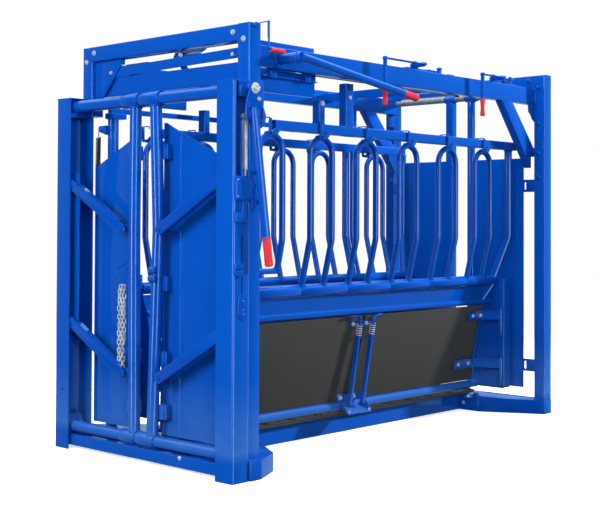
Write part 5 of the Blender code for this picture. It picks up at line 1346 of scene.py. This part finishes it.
# ---------------------------------------------------------------- squeeze walls
for side, s in (("near", 1), ("far", -1)):
    body = f"wall_{side}"
    sleeves = [(a - 0.0175, b + 0.022) for a, b in LOOPS[side]]

    def m(outline):
        return [(s * x, z) for x, z in outline] if s > 0 else [(-x, z) for x, z in reversed(outline)]

    p = Piece(f"wall_rail_{side}", body, BLUE)
    p.take(bar((s * 0.43, -0.89, 1.625), (s * 0.43, 1.232, 1.625), 0.05, 0.05, radius=0.006, wall=0.004))
    for y0, y1, top_z in ((-0.573, -0.530, 1.772), (-0.369, -0.308, 1.872)):
        p.take(bar((s * 0.427, (y0 + y1) / 2, 1.64), (s * 0.427, (y0 + y1) / 2, top_z), 0.050, y1 - y0, (0, 1, 0), 0.005, end=0.001))
        for xx in (0.4525, 0.4015):
            p.take(weld([(s * xx, y0 + 0.003, 1.6515), (s * xx, y1 - 0.003, 1.6515)], 0.0028, seed=32))
        p.take(weld([(s * 0.404, y0 - 0.001, 1.6515), (s * 0.450, y0 - 0.001, 1.6515)], 0.0028, seed=32))
    # bent end pipe with its cap weld
    p.take(tube(rounded([(s * LOOP_X, 1.207, 1.603), (s * LOOP_X, 1.207, 1.070), (s * MID_X, 1.135, 0.815)], 0.10, 8), 0.0235, 40))
    p.take(weld_ring((s * LOOP_X, 1.207, 1.5985), (0, 0, 1), 0.0245, 0.0026, seed=33))
    if s < 0:
        p.take(tube(rounded([(s * LOOP_X, 0.632, 1.603), (s * LOOP_X, 0.632, 1.070), (s * MID_X, 0.632, 0.815)], 0.10, 8), 0.0235, 40))
        p.take(tube(rounded([(s * LOOP_X, 0.690, 1.603), (s * LOOP_X, 0.690, 1.070), (s * MID_X, 0.690, 0.815)], 0.10, 8), 0.0125, 30))
    # pipes along the wall
    p.take(tube([(s * MID_X, HEAD_Y - 0.003, MID_Z), (s * MID_X, 1.153, MID_Z)], 0.0200, 36))
    p.take(tube([(s * 0.300, HEAD_Y - 0.003, 0.680), (s * 0.300, 1.153, 0.680)], 0.0205, 40))
    p.take(tube([(s * LOW_X, HEAD_Y - 0.012, LOW_Z), (s * LOW_X, 1.165, LOW_Z)], 0.0240, 40))
    starts = [a for a, b in sleeves]
    sleeves = [(a, (starts + [1.152])[k + 1] - 0.0046) for k, a in enumerate(starts)]
    ends = [HEAD_Y - 0.002] + [v for pair in sleeves for v in pair] + [1.151]
    for a, b in zip(ends[0::2], ends[1::2]):
        if b - a > 0.006:
            p.take(ring((s * MID_X, a + 0.0006, MID_Z), (s * MID_X, b - 0.0006, MID_Z), 0.0310, 0.0198, 0.0018))
    # sheet between the mid rail and the lower pipe, with a shallow pressed line
    p.take(prism(m([(0.3262, 0.777), (0.3292, 0.7755), (0.3028, 0.6905), (0.2995, 0.6915)]), "y", HEAD_Y + 0.002, 1.152))
    p.take(prism(m([(0.3295, 0.777), (0.3350, 0.774), (0.3080, 0.690), (0.3030, 0.6905)]), "y", HEAD_Y + 0.002, 1.152, 0.0008, 1))
    for i, yy in enumerate((-0.88, -0.52, -0.15, 0.22, 0.58, 0.93)):
        p.take(weld([(s * 0.3085, yy, 0.6975), (s * 0.3085, yy + 0.045, 0.6975)], 0.0026, seed=34 + i))
        p.take(weld([(s * 0.3325, yy + 0.12, 0.7810), (s * 0.3325, yy + 0.165, 0.7810)], 0.0026, seed=44 + i))
    shape = [(0.195, 0.150), (0.415, 0.150), (0.415, 0.800), (0.350, 0.820), (0.325, 0.790), (0.288, 0.690), (0.183, 0.190)]
    p.take(plate(m(shape), "y", END_Y, END_Y + 0.006, 0.001))
    p.take(plate(m(shape), "y", HEAD_Y - 0.006, HEAD_Y, 0.001))
    p.take(bar((s * 0.403, 1.1775, 0.155), (s * 0.403, 1.1775, 0.812), 0.036, 0.071, (0, 1, 0), 0.004, end=0.001))
    p.take(bar((s * 0.403, -1.086, 0.155), (s * 0.403, -1.086, 0.812), 0.036, 0.064, (0, 1, 0), 0.004, end=0.001))
    # round stub from the mid rail down to the lower pipe at the rear
    p.take(tube([(s * 0.345, 1.140, 0.790), (s * 0.302, 1.085, 0.690)], 0.0165, 30))
    # catch for the slide bolts: a folded plate hung on the bottom pipe
    p.take(prism(m([(0.2170, 0.1620), (0.2850, 0.1270), (0.2820, 0.1225), (0.2140, 0.1570)]), "y", -0.150, 0.045, 0.0008, 1))
    p.take(prism(m([(0.2812, 0.1335), (0.2850, 0.1335), (0.2850, 0.1235), (0.2812, 0.1235)]), "y", -0.150, 0.045, 0.0008, 1))
    for yy in (-0.150, 0.042):
        p.take(plate(m([(0.212, 0.175), (0.232, 0.190), (0.262, 0.168), (0.2850, 0.131), (0.2830, 0.1225), (0.214, 0.157)]), "y", yy, yy + 0.004, 0.0008))
    p.take(weld([(s * 0.2215, -0.148, 0.1615), (s * 0.2215, 0.043, 0.1615)], 0.0024, seed=52))
    p.take(prism(m([(0.2900, 0.6680), (0.2930, 0.6680), (0.2850, 0.6360), (0.2820, 0.6360)]), "y", HEAD_Y + 0.004, 0.62, 0.0006, 1))
    stop = Piece(f"door_stop_{side}", body, BLACK)
    stop.take(prism(m([(slant(0.205) - 0.0110, 0.205), (slant(0.205) - 0.0070, 0.205), (slant(0.655) - 0.0070, 0.655), (slant(0.655) - 0.0110, 0.655)]), "y", -0.135, -0.008, 0.0008, 1))
    stop.done()
    for hinge_y, way in HINGES:
        for low, high in KNUCKLES:
            p.take(disc((s * KICK_X, hinge_y, low - 0.012), (s * KICK_X, hinge_y, high + 0.012), 0.0060, 0.0008, 20))
            for z in (low - 0.012, high + 0.0005):
                y0, y1 = sorted((hinge_y - 0.008 * way, hinge_y + 0.024 * way))
                p.take(box(s * 0.400, s * 0.420, y0, y1, z, z + 0.0115, 0.0015))
    p.done(f"wall_{side}")

    q = Piece(f"wall_fasteners_{side}", body, ZINC)
    q.take(hexbolt((s * 0.4520, -0.5515, 1.752), (s, 0, 0), 0.017, 0.007, 0.013))
    q.take(hexbolt((s * 0.4520, -0.3380, 1.800), (s, 0, 0), 0.015, 0.006, 0.011))
    for yy in (-0.135, 0.030):
        q.take(nut((s * 0.278, yy, 0.1345), (s * 0.55, 0, 0.85), 0.011, 0.006, 0.0035, 0.003))
    q.done(mat=GALV)

    # drop bars
    for i, (y0, y1) in enumerate(LOOPS[side], 1):
        a, b = sleeves[i - 1]
        body_i = f"drop_bar_{side}_{i}"
        q = Piece(f"loop_{side}_{i}", body_i, BLUE)
        foot = (s * (MID_X + 0.006), y1, MID_Z + 0.022)
        if i == 1:
            foot = (s * 0.372, y1 + 0.004, 0.9155)
        lower = [(s * (MID_X + 0.006), y0, MID_Z + 0.022), (s * LOOP_X, y0, 1.070), (s * LOOP_X, y0, 1.20)]
        r = (y1 - y0) / 2
        path = rounded(lower, 0.09, 8)
        for k in range(17):
            t = math.pi * k / 16
            path.append(V((s * LOOP_X, (y0 + y1) / 2 - r * math.cos(t), LOOP_TOP - r + r * math.sin(t))))
        path += rounded([(s * LOOP_X, y1, 1.20), (s * LOOP_X, y1, 1.070), foot], 0.09, 8)
        q.take(tube(path, LOOP_R, 30))
        q.take(ring((s * MID_X, a, MID_Z), (s * MID_X, b, MID_Z), 0.0310, 0.0212, 0.0018))
        for yy in (y0, y1) if i > 1 else (y0,):
            q.take(weld_ring((s * (MID_X + 0.012), yy, MID_Z + 0.0285), (s * 0.24, 0, 0.97), 0.0175, 0.0028, seed=60 + i))
        if i == 1:
            q.take(tube([(s * 0.3705, y0 - 0.006, 0.915), (s * 0.3705, y1 + 0.018, 0.915)], 0.0145, 28))
            q.take(weld_ring((s * 0.374, y1 + 0.003, 0.929), (s * 0.24, 0, 0.97), 0.0165, 0.0026, seed=60))
        # latch: a hook that wraps the rail, and its thumb tab
        yc = (y0 + y1) / 2
        q.take(plate(m([(0.4290, 1.5760), (0.4560, 1.5760), (0.4640, 1.5860), (0.4640, 1.6560), (0.4600, 1.6600), (0.4080, 1.6600), (0.4020, 1.6560), (0.4020, 1.6440), (0.4045, 1.6440),
                        (0.4045, 1.6545), (0.4585, 1.6545), (0.4585, 1.5980), (0.4540, 1.5930), (0.4290, 1.5900)]), "y", yc - 0.066, yc - 0.060, 0.0007))
        q.take(box(s * 0.4585, s * 0.4640, yc - 0.064, yc - 0.048, 1.588, 1.6545, 0.0010))
        q.take(bar((s * 0.436, yc - 0.064, 1.586), (s * 0.436, yc + 0.010, 1.598), 0.020, 0.004, (0, 0, 1), 0.001, end=0.0008))
        q.take(prism([(yc - 0.044, 1.5790), (yc - 0.018, 1.6080), (yc - 0.013, 1.6105), (yc + 0.018, 1.6105), (yc + 0.021, 1.6075), (yc - 0.004, 1.5780), (yc - 0.010, 1.5750), (yc - 0.040, 1.5750)], "x",
                     min(s * 0.4560, s * 0.4600), max(s * 0.4560, s * 0.4600), 0.0009))
        q.take(weld([(s * 0.4545, yc - 0.036, 1.5885), (s * 0.4545, yc - 0.016, 1.6060)], 0.0022, seed=70 + i))
        q.take(weld([(s * 0.418, yc - 0.030, LOOP_TOP + 0.0140), (s * 0.418, yc + 0.012, LOOP_TOP + 0.0150)], 0.0028, seed=70 + i))
        q.done(body_i)

    # kick doors
    for which, y0, y1, hinge_y, way in (("rear", -0.042, 1.055, 1.124, 1), ("front", -0.965, -0.098, -1.036, -1)):
        kick = f"kick_{which}_{side}"
        q = Piece(f"board_{which}_{side}", kick, BLACK)
        slab = m([(slant(0.195), 0.195), (slant(0.195) + 0.012, 0.1925), (slant(0.655) + 0.012, 0.6525), (slant(0.655), 0.655)])
        if which == "rear":
            # the rear edge leans a little with the end plate behind it
            board = prism(slab, "y", y0, y1 + 0.034, 0.0016, 3)
            q.take(trim(board, (0, y1 + 0.012, 0.655), (0, 0.9992, 0.0391)))
        else:
            q.take(prism(slab, "y", y0, y1, 0.0016, 3))
        q.done(f"kick_door_{which}_{side}")
        q = Piece(f"strap_{which}_{side}", kick, BLUE)
        z_bolts = Piece(f"strap_bolts_{which}_{side}", kick, ZINC)
        inner = y1 if way > 0 else y0
        arms = []
        for low, high in KNUCKLES:
            zt = high - 0.022
            arms.append((low, high, zt, slant(zt) + 0.0128, inner - way * ((0.130 if low > 0.4 else 0.190) if which == "rear" else 0.062)))
        for low, high, zt, x_in, reach in arms:
            zc = zt - 0.015
            x_face = x_in + 0.006
            # the strap lies on the board, then a bent arm with a lip runs to the hinge
            q.take(bar((s * x_face, reach, zc), (s * x_face, inner + way * 0.004, zc), 0.005, 0.056, (0, 0, 1), 0.0014, end=0.001))
            q.take(bar((s * x_face, inner, zc), (s * KICK_X, hinge_y - way * 0.002, zc), 0.005, 0.056, (0, 0, 1), 0.0014))
            q.take(bar((s * (x_face + 0.009), reach + way * 0.002, zc + 0.0265), (s * (x_face + 0.009), inner + way * 0.004, zc + 0.0265), 0.020, 0.004, (0, 0, 1), 0.001))
            q.take(bar((s * (x_face + 0.009), inner, zc + 0.0265), (s * (KICK_X + 0.002), hinge_y - way * 0.006, zc + 0.0265), 0.016, 0.004, (0, 0, 1), 0.001))
            q.take(ring((s * KICK_X, hinge_y, low), (s * KICK_X, hinge_y, high), 0.0110, 0.0066, 0.001, 30))
            q.take(weld([(s * (KICK_X - 0.006), hinge_y - way * 0.0105, zc - 0.020), (s * (KICK_X - 0.006), hinge_y - way * 0.0105, zc + 0.020)], 0.0026, seed=80))
            xs = x_face + 0.0025
            for along_y in (0.030,) if which == "front" else (0.040, 0.122) if low > 0.4 else (0.042, 0.146):
                yb = reach + way * along_y
                z_bolts.take(hexbolt((s * xs, yb, zc - 0.002), (s, 0, -0.2), 0.0165, 0.0060, 0.0125, 0.3 + along_y * 9))
        lo, hi = arms[1], arms[0]
        q.take(bar((s * (lo[3] + 0.007), inner, lo[2] - 0.030), (s * (hi[3] + 0.007), inner, hi[2]), 0.005, 0.012, (s, 0, 0), 0.0012))
        # bolt brackets: two lugs on the board near its free edge
        y = -0.113 if which == "front" else -0.004
        x_low, x_top = 0.2600, 0.3375

        def on(z):
            return x_low + (z - 0.170) * (x_top - x_low) / 0.462

        for zb, tall in ((0.612, 0.036), (0.209, 0.044)):
            xb = slant(zb) + 0.0128
            q.take(bar((s * (xb + 0.0022), y - 0.052, zb), (s * (xb + 0.0022), y - 0.006, zb), 0.0040, tall, (0, 0, 1), 0.001, end=0.0008))
            q.take(plate([(s * (xb + 0.001), y - 0.012), (s * (on(zb) + 0.016), y - 0.012), (s * (on(zb) + 0.016), y + 0.014), (s * (xb + 0.001), y + 0.014)][::int(s)], "z", zb + 0.014, zb + 0.018, 0.0008))
            z_bolts.take(nut((s * (xb + 0.0042), y - 0.030, zb - 0.001), (s, 0, -0.2), 0.0170, 0.0085, 0.0050, 0.0035))
        # cheek plates that guide the lower end of the bolt
        zb = 0.190
        for off in (-0.0105, 0.0075):
            q.take(plate(m([(slant(0.228) + 0.0128, 0.228), (on(0.228) + 0.013, 0.228), (on(0.182) + 0.014, 0.182), (slant(0.197) + 0.0160, 0.199)]), "y", y + off, y + off + 0.003, 0.0007))
        zb = 0.536
        q.take(plate([(s * (slant(zb) + 0.0130), y - 0.013), (s * (on(zb) + 0.016), y - 0.013), (s * (on(zb) + 0.016), y + 0.013), (s * (slant(zb) + 0.0130), y + 0.013)][::int(s)], "z", zb - 0.002, zb + 0.002, 0.0008))
        q.done(f"kick_strap_{which}_{side}")
        z_bolts.done(mat=GALV)

        # slide bolt: square rod, round upper end with a spring and an L handle
        bolt = f"bolt_{which}_{side}"
        q = Piece(f"bolt_rod_{which}_{side}", bolt, BLUE)
        q.take(bar((s * on(0.170), y, 0.170), (s * on(0.527), y, 0.527), 0.0240, 0.0130, (0, 1, 0), 0.0018, end=0.0012))
        bend = 0.030 if which == "rear" else -0.030
        tip_y = y + bend * (1.0 if which == "rear" else 0.6)
        q.take(tube(rounded([(s * on(0.520), y, 0.520), (s * on(0.644), y, 0.644), (s * (on(0.644) + 0.006), tip_y, 0.6545)], 0.012, 8), 0.0080, 26))
        q.take(disc((s * on(0.542), y, 0.542), (s * on(0.545), y, 0.545), 0.0165, 0.0008))
        if which == "rear":
            q.take(tube([(s * (on(0.644) + 0.0055), y + 0.026, 0.6540), (s * (on(0.644) + 0.0075), y + 0.060, 0.6550)], 0.0080, 26))
        else:
            q.take(plate([(s * (on(0.65) - 0.012), y - 0.105), (s * (on(0.65) + 0.010), y - 0.105), (s * (on(0.65) + 0.010), y - 0.010), (s * (on(0.65) - 0.012), y - 0.010)][::int(s)], "z", 0.6565, 0.6605, 0.0008))
        q.done(f"slide_bolt_{which}_{side}")
        q = Piece(f"bolt_spring_{which}_{side}", bolt, ZINC)
        q.take(helix((s * on(0.547), y, 0.547), (s * on(0.612), y, 0.612), 0.0155, 0.0023, 5.5))
        coil = q.done(mat=GALV)
        coil_axis = (V((s * on(0.612), y, 0.612)) - V((s * on(0.547), y, 0.547))).normalized()
        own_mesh(coil)

# ---------------------------------------------------------------- tailgate leaves
p = Piece("tail_leaf_left", "tail_left", BLUE)
p.take(bar((-0.0565, DOOR_Y, 0.153), (-0.0565, DOOR_Y, 1.930), 0.052, 0.049, (0, 1, 0), 0.005))
p.take(plate([(-0.441, 0.153), (-0.080, 0.153), (-0.080, 1.554), (-0.441, 1.554)], "y", DOOR_Y - 0.0015, DOOR_Y + 0.0015, 0.0006))
p.take(box(-0.441, -0.436, DOOR_Y - 0.010, DOOR_Y + 0.001, 0.153, 1.554, 0.001))
p.take(ring((-0.1000, DOOR_Y, TRACK_Z), (-0.0200, DOOR_Y, TRACK_Z), 0.0245, 0.0187))
for z in (0.35, 0.75, 1.15, 1.45):
    p.take(weld([(-0.0845, DOOR_Y - 0.003, z), (-0.0845, DOOR_Y - 0.003, z + 0.04)], 0.0026, seed=90))
p.take(weld([(-0.080, DOOR_Y - 0.0245, 1.928), (-0.033, DOOR_Y - 0.0245, 1.928)], 0.0026, seed=91))
p.done("tail_door_left")
p = Piece("tail_leaf_right", "tail_right", BLUE)
p.take(tube([(0.099, DOOR_Y, 0.153), (0.099, DOOR_Y, 1.930)], 0.0245, 40))
p.take(plate([(0.118, 0.153), (0.487, 0.153), (0.487, 1.554), (0.118, 1.554)], "y", DOOR_Y - 0.0015, DOOR_Y + 0.0015, 0.0006))
p.take(box(0.482, 0.487, DOOR_Y - 0.010, DOOR_Y + 0.001, 0.153, 1.554, 0.001))
p.take(ring((0.0600, DOOR_Y, TRACK_Z), (0.1400, DOOR_Y, TRACK_Z), 0.0245, 0.0187))
for z in (0.35, 0.75, 1.15, 1.45):
    p.take(weld([(0.1245, DOOR_Y - 0.003, z), (0.1245, DOOR_Y - 0.003, z + 0.04)], 0.0026, seed=92))
p.take(weld_ring((0.099, DOOR_Y, 1.9265), (0, 0, 1), 0.0250, 0.0026, seed=93))
p.done("tail_door_right")

# ---------------------------------------------------------------- floor, sky and lights
bm = bmesh.new()
bmesh.ops.create_grid(bm, x_segments=8, y_segments=8, size=30)
mesh = bpy.data.meshes.new("studio_floor")
bm.to_mesh(mesh)
bm.free()
floor = bpy.data.objects.new("studio_floor", mesh)
floor.location = (0, 0, -0.0012)
floor.visible_glossy = False
floor.visible_diffuse = False
scene.collection.objects.link(floor)
mat, tree, shader = fresh("studio_floor_pale")
vec = coords(tree)
tree.links.new(mixc(tree, span(tree, noise(tree, vec, 0.7, 4), 0.3, 0.7, 0, 1), (0.93, 0.93, 0.93), (0.91, 0.91, 0.915)), shader.inputs["Base Color"])
shader.inputs["Roughness"].default_value = 0.75
shader.inputs["Specular IOR Level"].default_value = 0.15
shader.inputs["Emission Color"].default_value = (1, 1, 1, 1)
shader.inputs["Emission Strength"].default_value = 0.60
far = tree.nodes.new("ShaderNodeVectorMath")
far.operation = "LENGTH"
tree.links.new(vec, far.inputs[0])
clear = tree.nodes.new("ShaderNodeBsdfTransparent")
blend = tree.nodes.new("ShaderNodeMixShader")
tree.links.new(span(tree, far.outputs["Value"], 3.2, 7.5, 0, 1), blend.inputs[0])
tree.links.new(shader.outputs[0], blend.inputs[1])
tree.links.new(clear.outputs[0], blend.inputs[2])
tree.links.new(blend.outputs[0], [n for n in tree.nodes if n.type == "OUTPUT_MATERIAL"][0].inputs[0])
mesh.materials.append(mat)

world = bpy.data.worlds.new("studio")
scene.world = world
world.use_nodes = True
world.cycles.sampling_method = "NONE"
wt = world.node_tree
wt.nodes.clear()
wout = wt.nodes.new("ShaderNodeOutputWorld")
back = wt.nodes.new("ShaderNodeBackground")
where = wt.nodes.new("ShaderNodeTexCoord").outputs["Generated"]
toward = wt.nodes.new("ShaderNodeVectorMath")
toward.operation = "DOT_PRODUCT"
wt.links.new(where, toward.inputs[0])
toward.inputs[1].default_value = (-0.68, 0.73, 0.0)
behind = span(wt, toward.outputs["Value"], -0.05, 0.75, 0.0, 1.0)
right = wt.nodes.new("ShaderNodeVectorMath")
right.operation = "DOT_PRODUCT"
wt.links.new(where, right.inputs[0])
right.inputs[1].default_value = (0.9965, -0.0837, 0.0)
beside = span(wt, right.outputs["Value"], 0.895, 0.935, 0.0, 1.0)
ahead = wt.nodes.new("ShaderNodeVectorMath")
ahead.operation = "DOT_PRODUCT"
wt.links.new(where, ahead.inputs[0])
ahead.inputs[1].default_value = (-0.117, -0.993, 0.0)
facing = span(wt, ahead.outputs["Value"], 0.979, 0.989, 0.0, 1.0)
sep = wt.nodes.new("ShaderNodeSeparateXYZ")
wt.links.new(where, sep.inputs[0])
high = span(wt, sep.outputs[2], 0.15, 0.95, 0.0, 1.0)
path = wt.nodes.new("ShaderNodeLightPath")
# what the paint mirrors: dark room, pale backdrop behind the object, soft ceiling
mirror = maths(wt, "ADD", maths(wt, "ADD", maths(wt, "ADD", maths(wt, "MULTIPLY", behind, 0.70), maths(wt, "ADD", maths(wt, "MULTIPLY", beside, 7.0), maths(wt, "MULTIPLY", facing, 13.0))), 0.02), maths(wt, "MULTIPLY", span(wt, sep.outputs[2], 0.44, 0.62, 0.0, 1.0), 1.8))
soft = maths(wt, "ADD", maths(wt, "MULTIPLY", high, 0.26), 0.22)
glossy = path.outputs["Is Glossy Ray"]
seen = path.outputs["Is Camera Ray"]
level = maths(wt, "ADD", maths(wt, "MULTIPLY", mirror, glossy), maths(wt, "MULTIPLY", soft, maths(wt, "SUBTRACT", 1.0, glossy)))
level = maths(wt, "ADD", maths(wt, "MULTIPLY", level, maths(wt, "SUBTRACT", 1.0, seen)), seen)
wt.links.new(mixc(wt, glossy, (1.0, 1.0, 1.0), (0.58, 0.85, 1.0)), back.inputs[0])
wt.links.new(level, back.inputs[1])
wt.links.new(back.outputs[0], wout.inputs[0])


def area(name, at, look, size, power, color=(1, 1, 1), size_y=None, mirrored=False):
    data = bpy.data.lights.new(name, "AREA")
    data.energy = power
    data.color = color
    data.shape = "RECTANGLE"
    data.size = size
    data.size_y = size_y or size
    obj = bpy.data.objects.new(name, data)
    scene.collection.objects.link(obj)
    obj.location = at
    obj.rotation_euler = (V(look) - V(at)).to_track_quat("-Z", "Y").to_euler()
    obj.visible_glossy = mirrored
    return obj


area("fill_right", (5.4, -5.0, 2.6), (0, -0.2, 0.9), 2.4, 230, (0.98, 0.99, 1.0))
area("key_right", (4.5, 7.2, 3.7), (0.2, -0.1, 0.8), 0.5, 1450, (1.0, 0.99, 0.97))
area("fill_front", (0.9, -7.6, 3.4), (0, -1.0, 0.9), 2.6, 400, (0.97, 0.985, 1.0))
area("overhead", (0.3, 0.2, 6.5), (0, 0, 0), 3.2, 400, (0.98, 0.99, 1.0))
area("strip_right", (7.2, -1.2, 1.9), (0, 0, 1.1), 1.10, 60, (1, 1, 1), 3.6)
area("strip_left", (-1.0, -7.4, 1.9), (0, -0.6, 1.1), 1.30, 90, (1, 1, 1), 3.6)
scene.view_settings.view_transform = "Standard"
scene.view_settings.look = "None"
scene.view_settings.exposure = 0.0
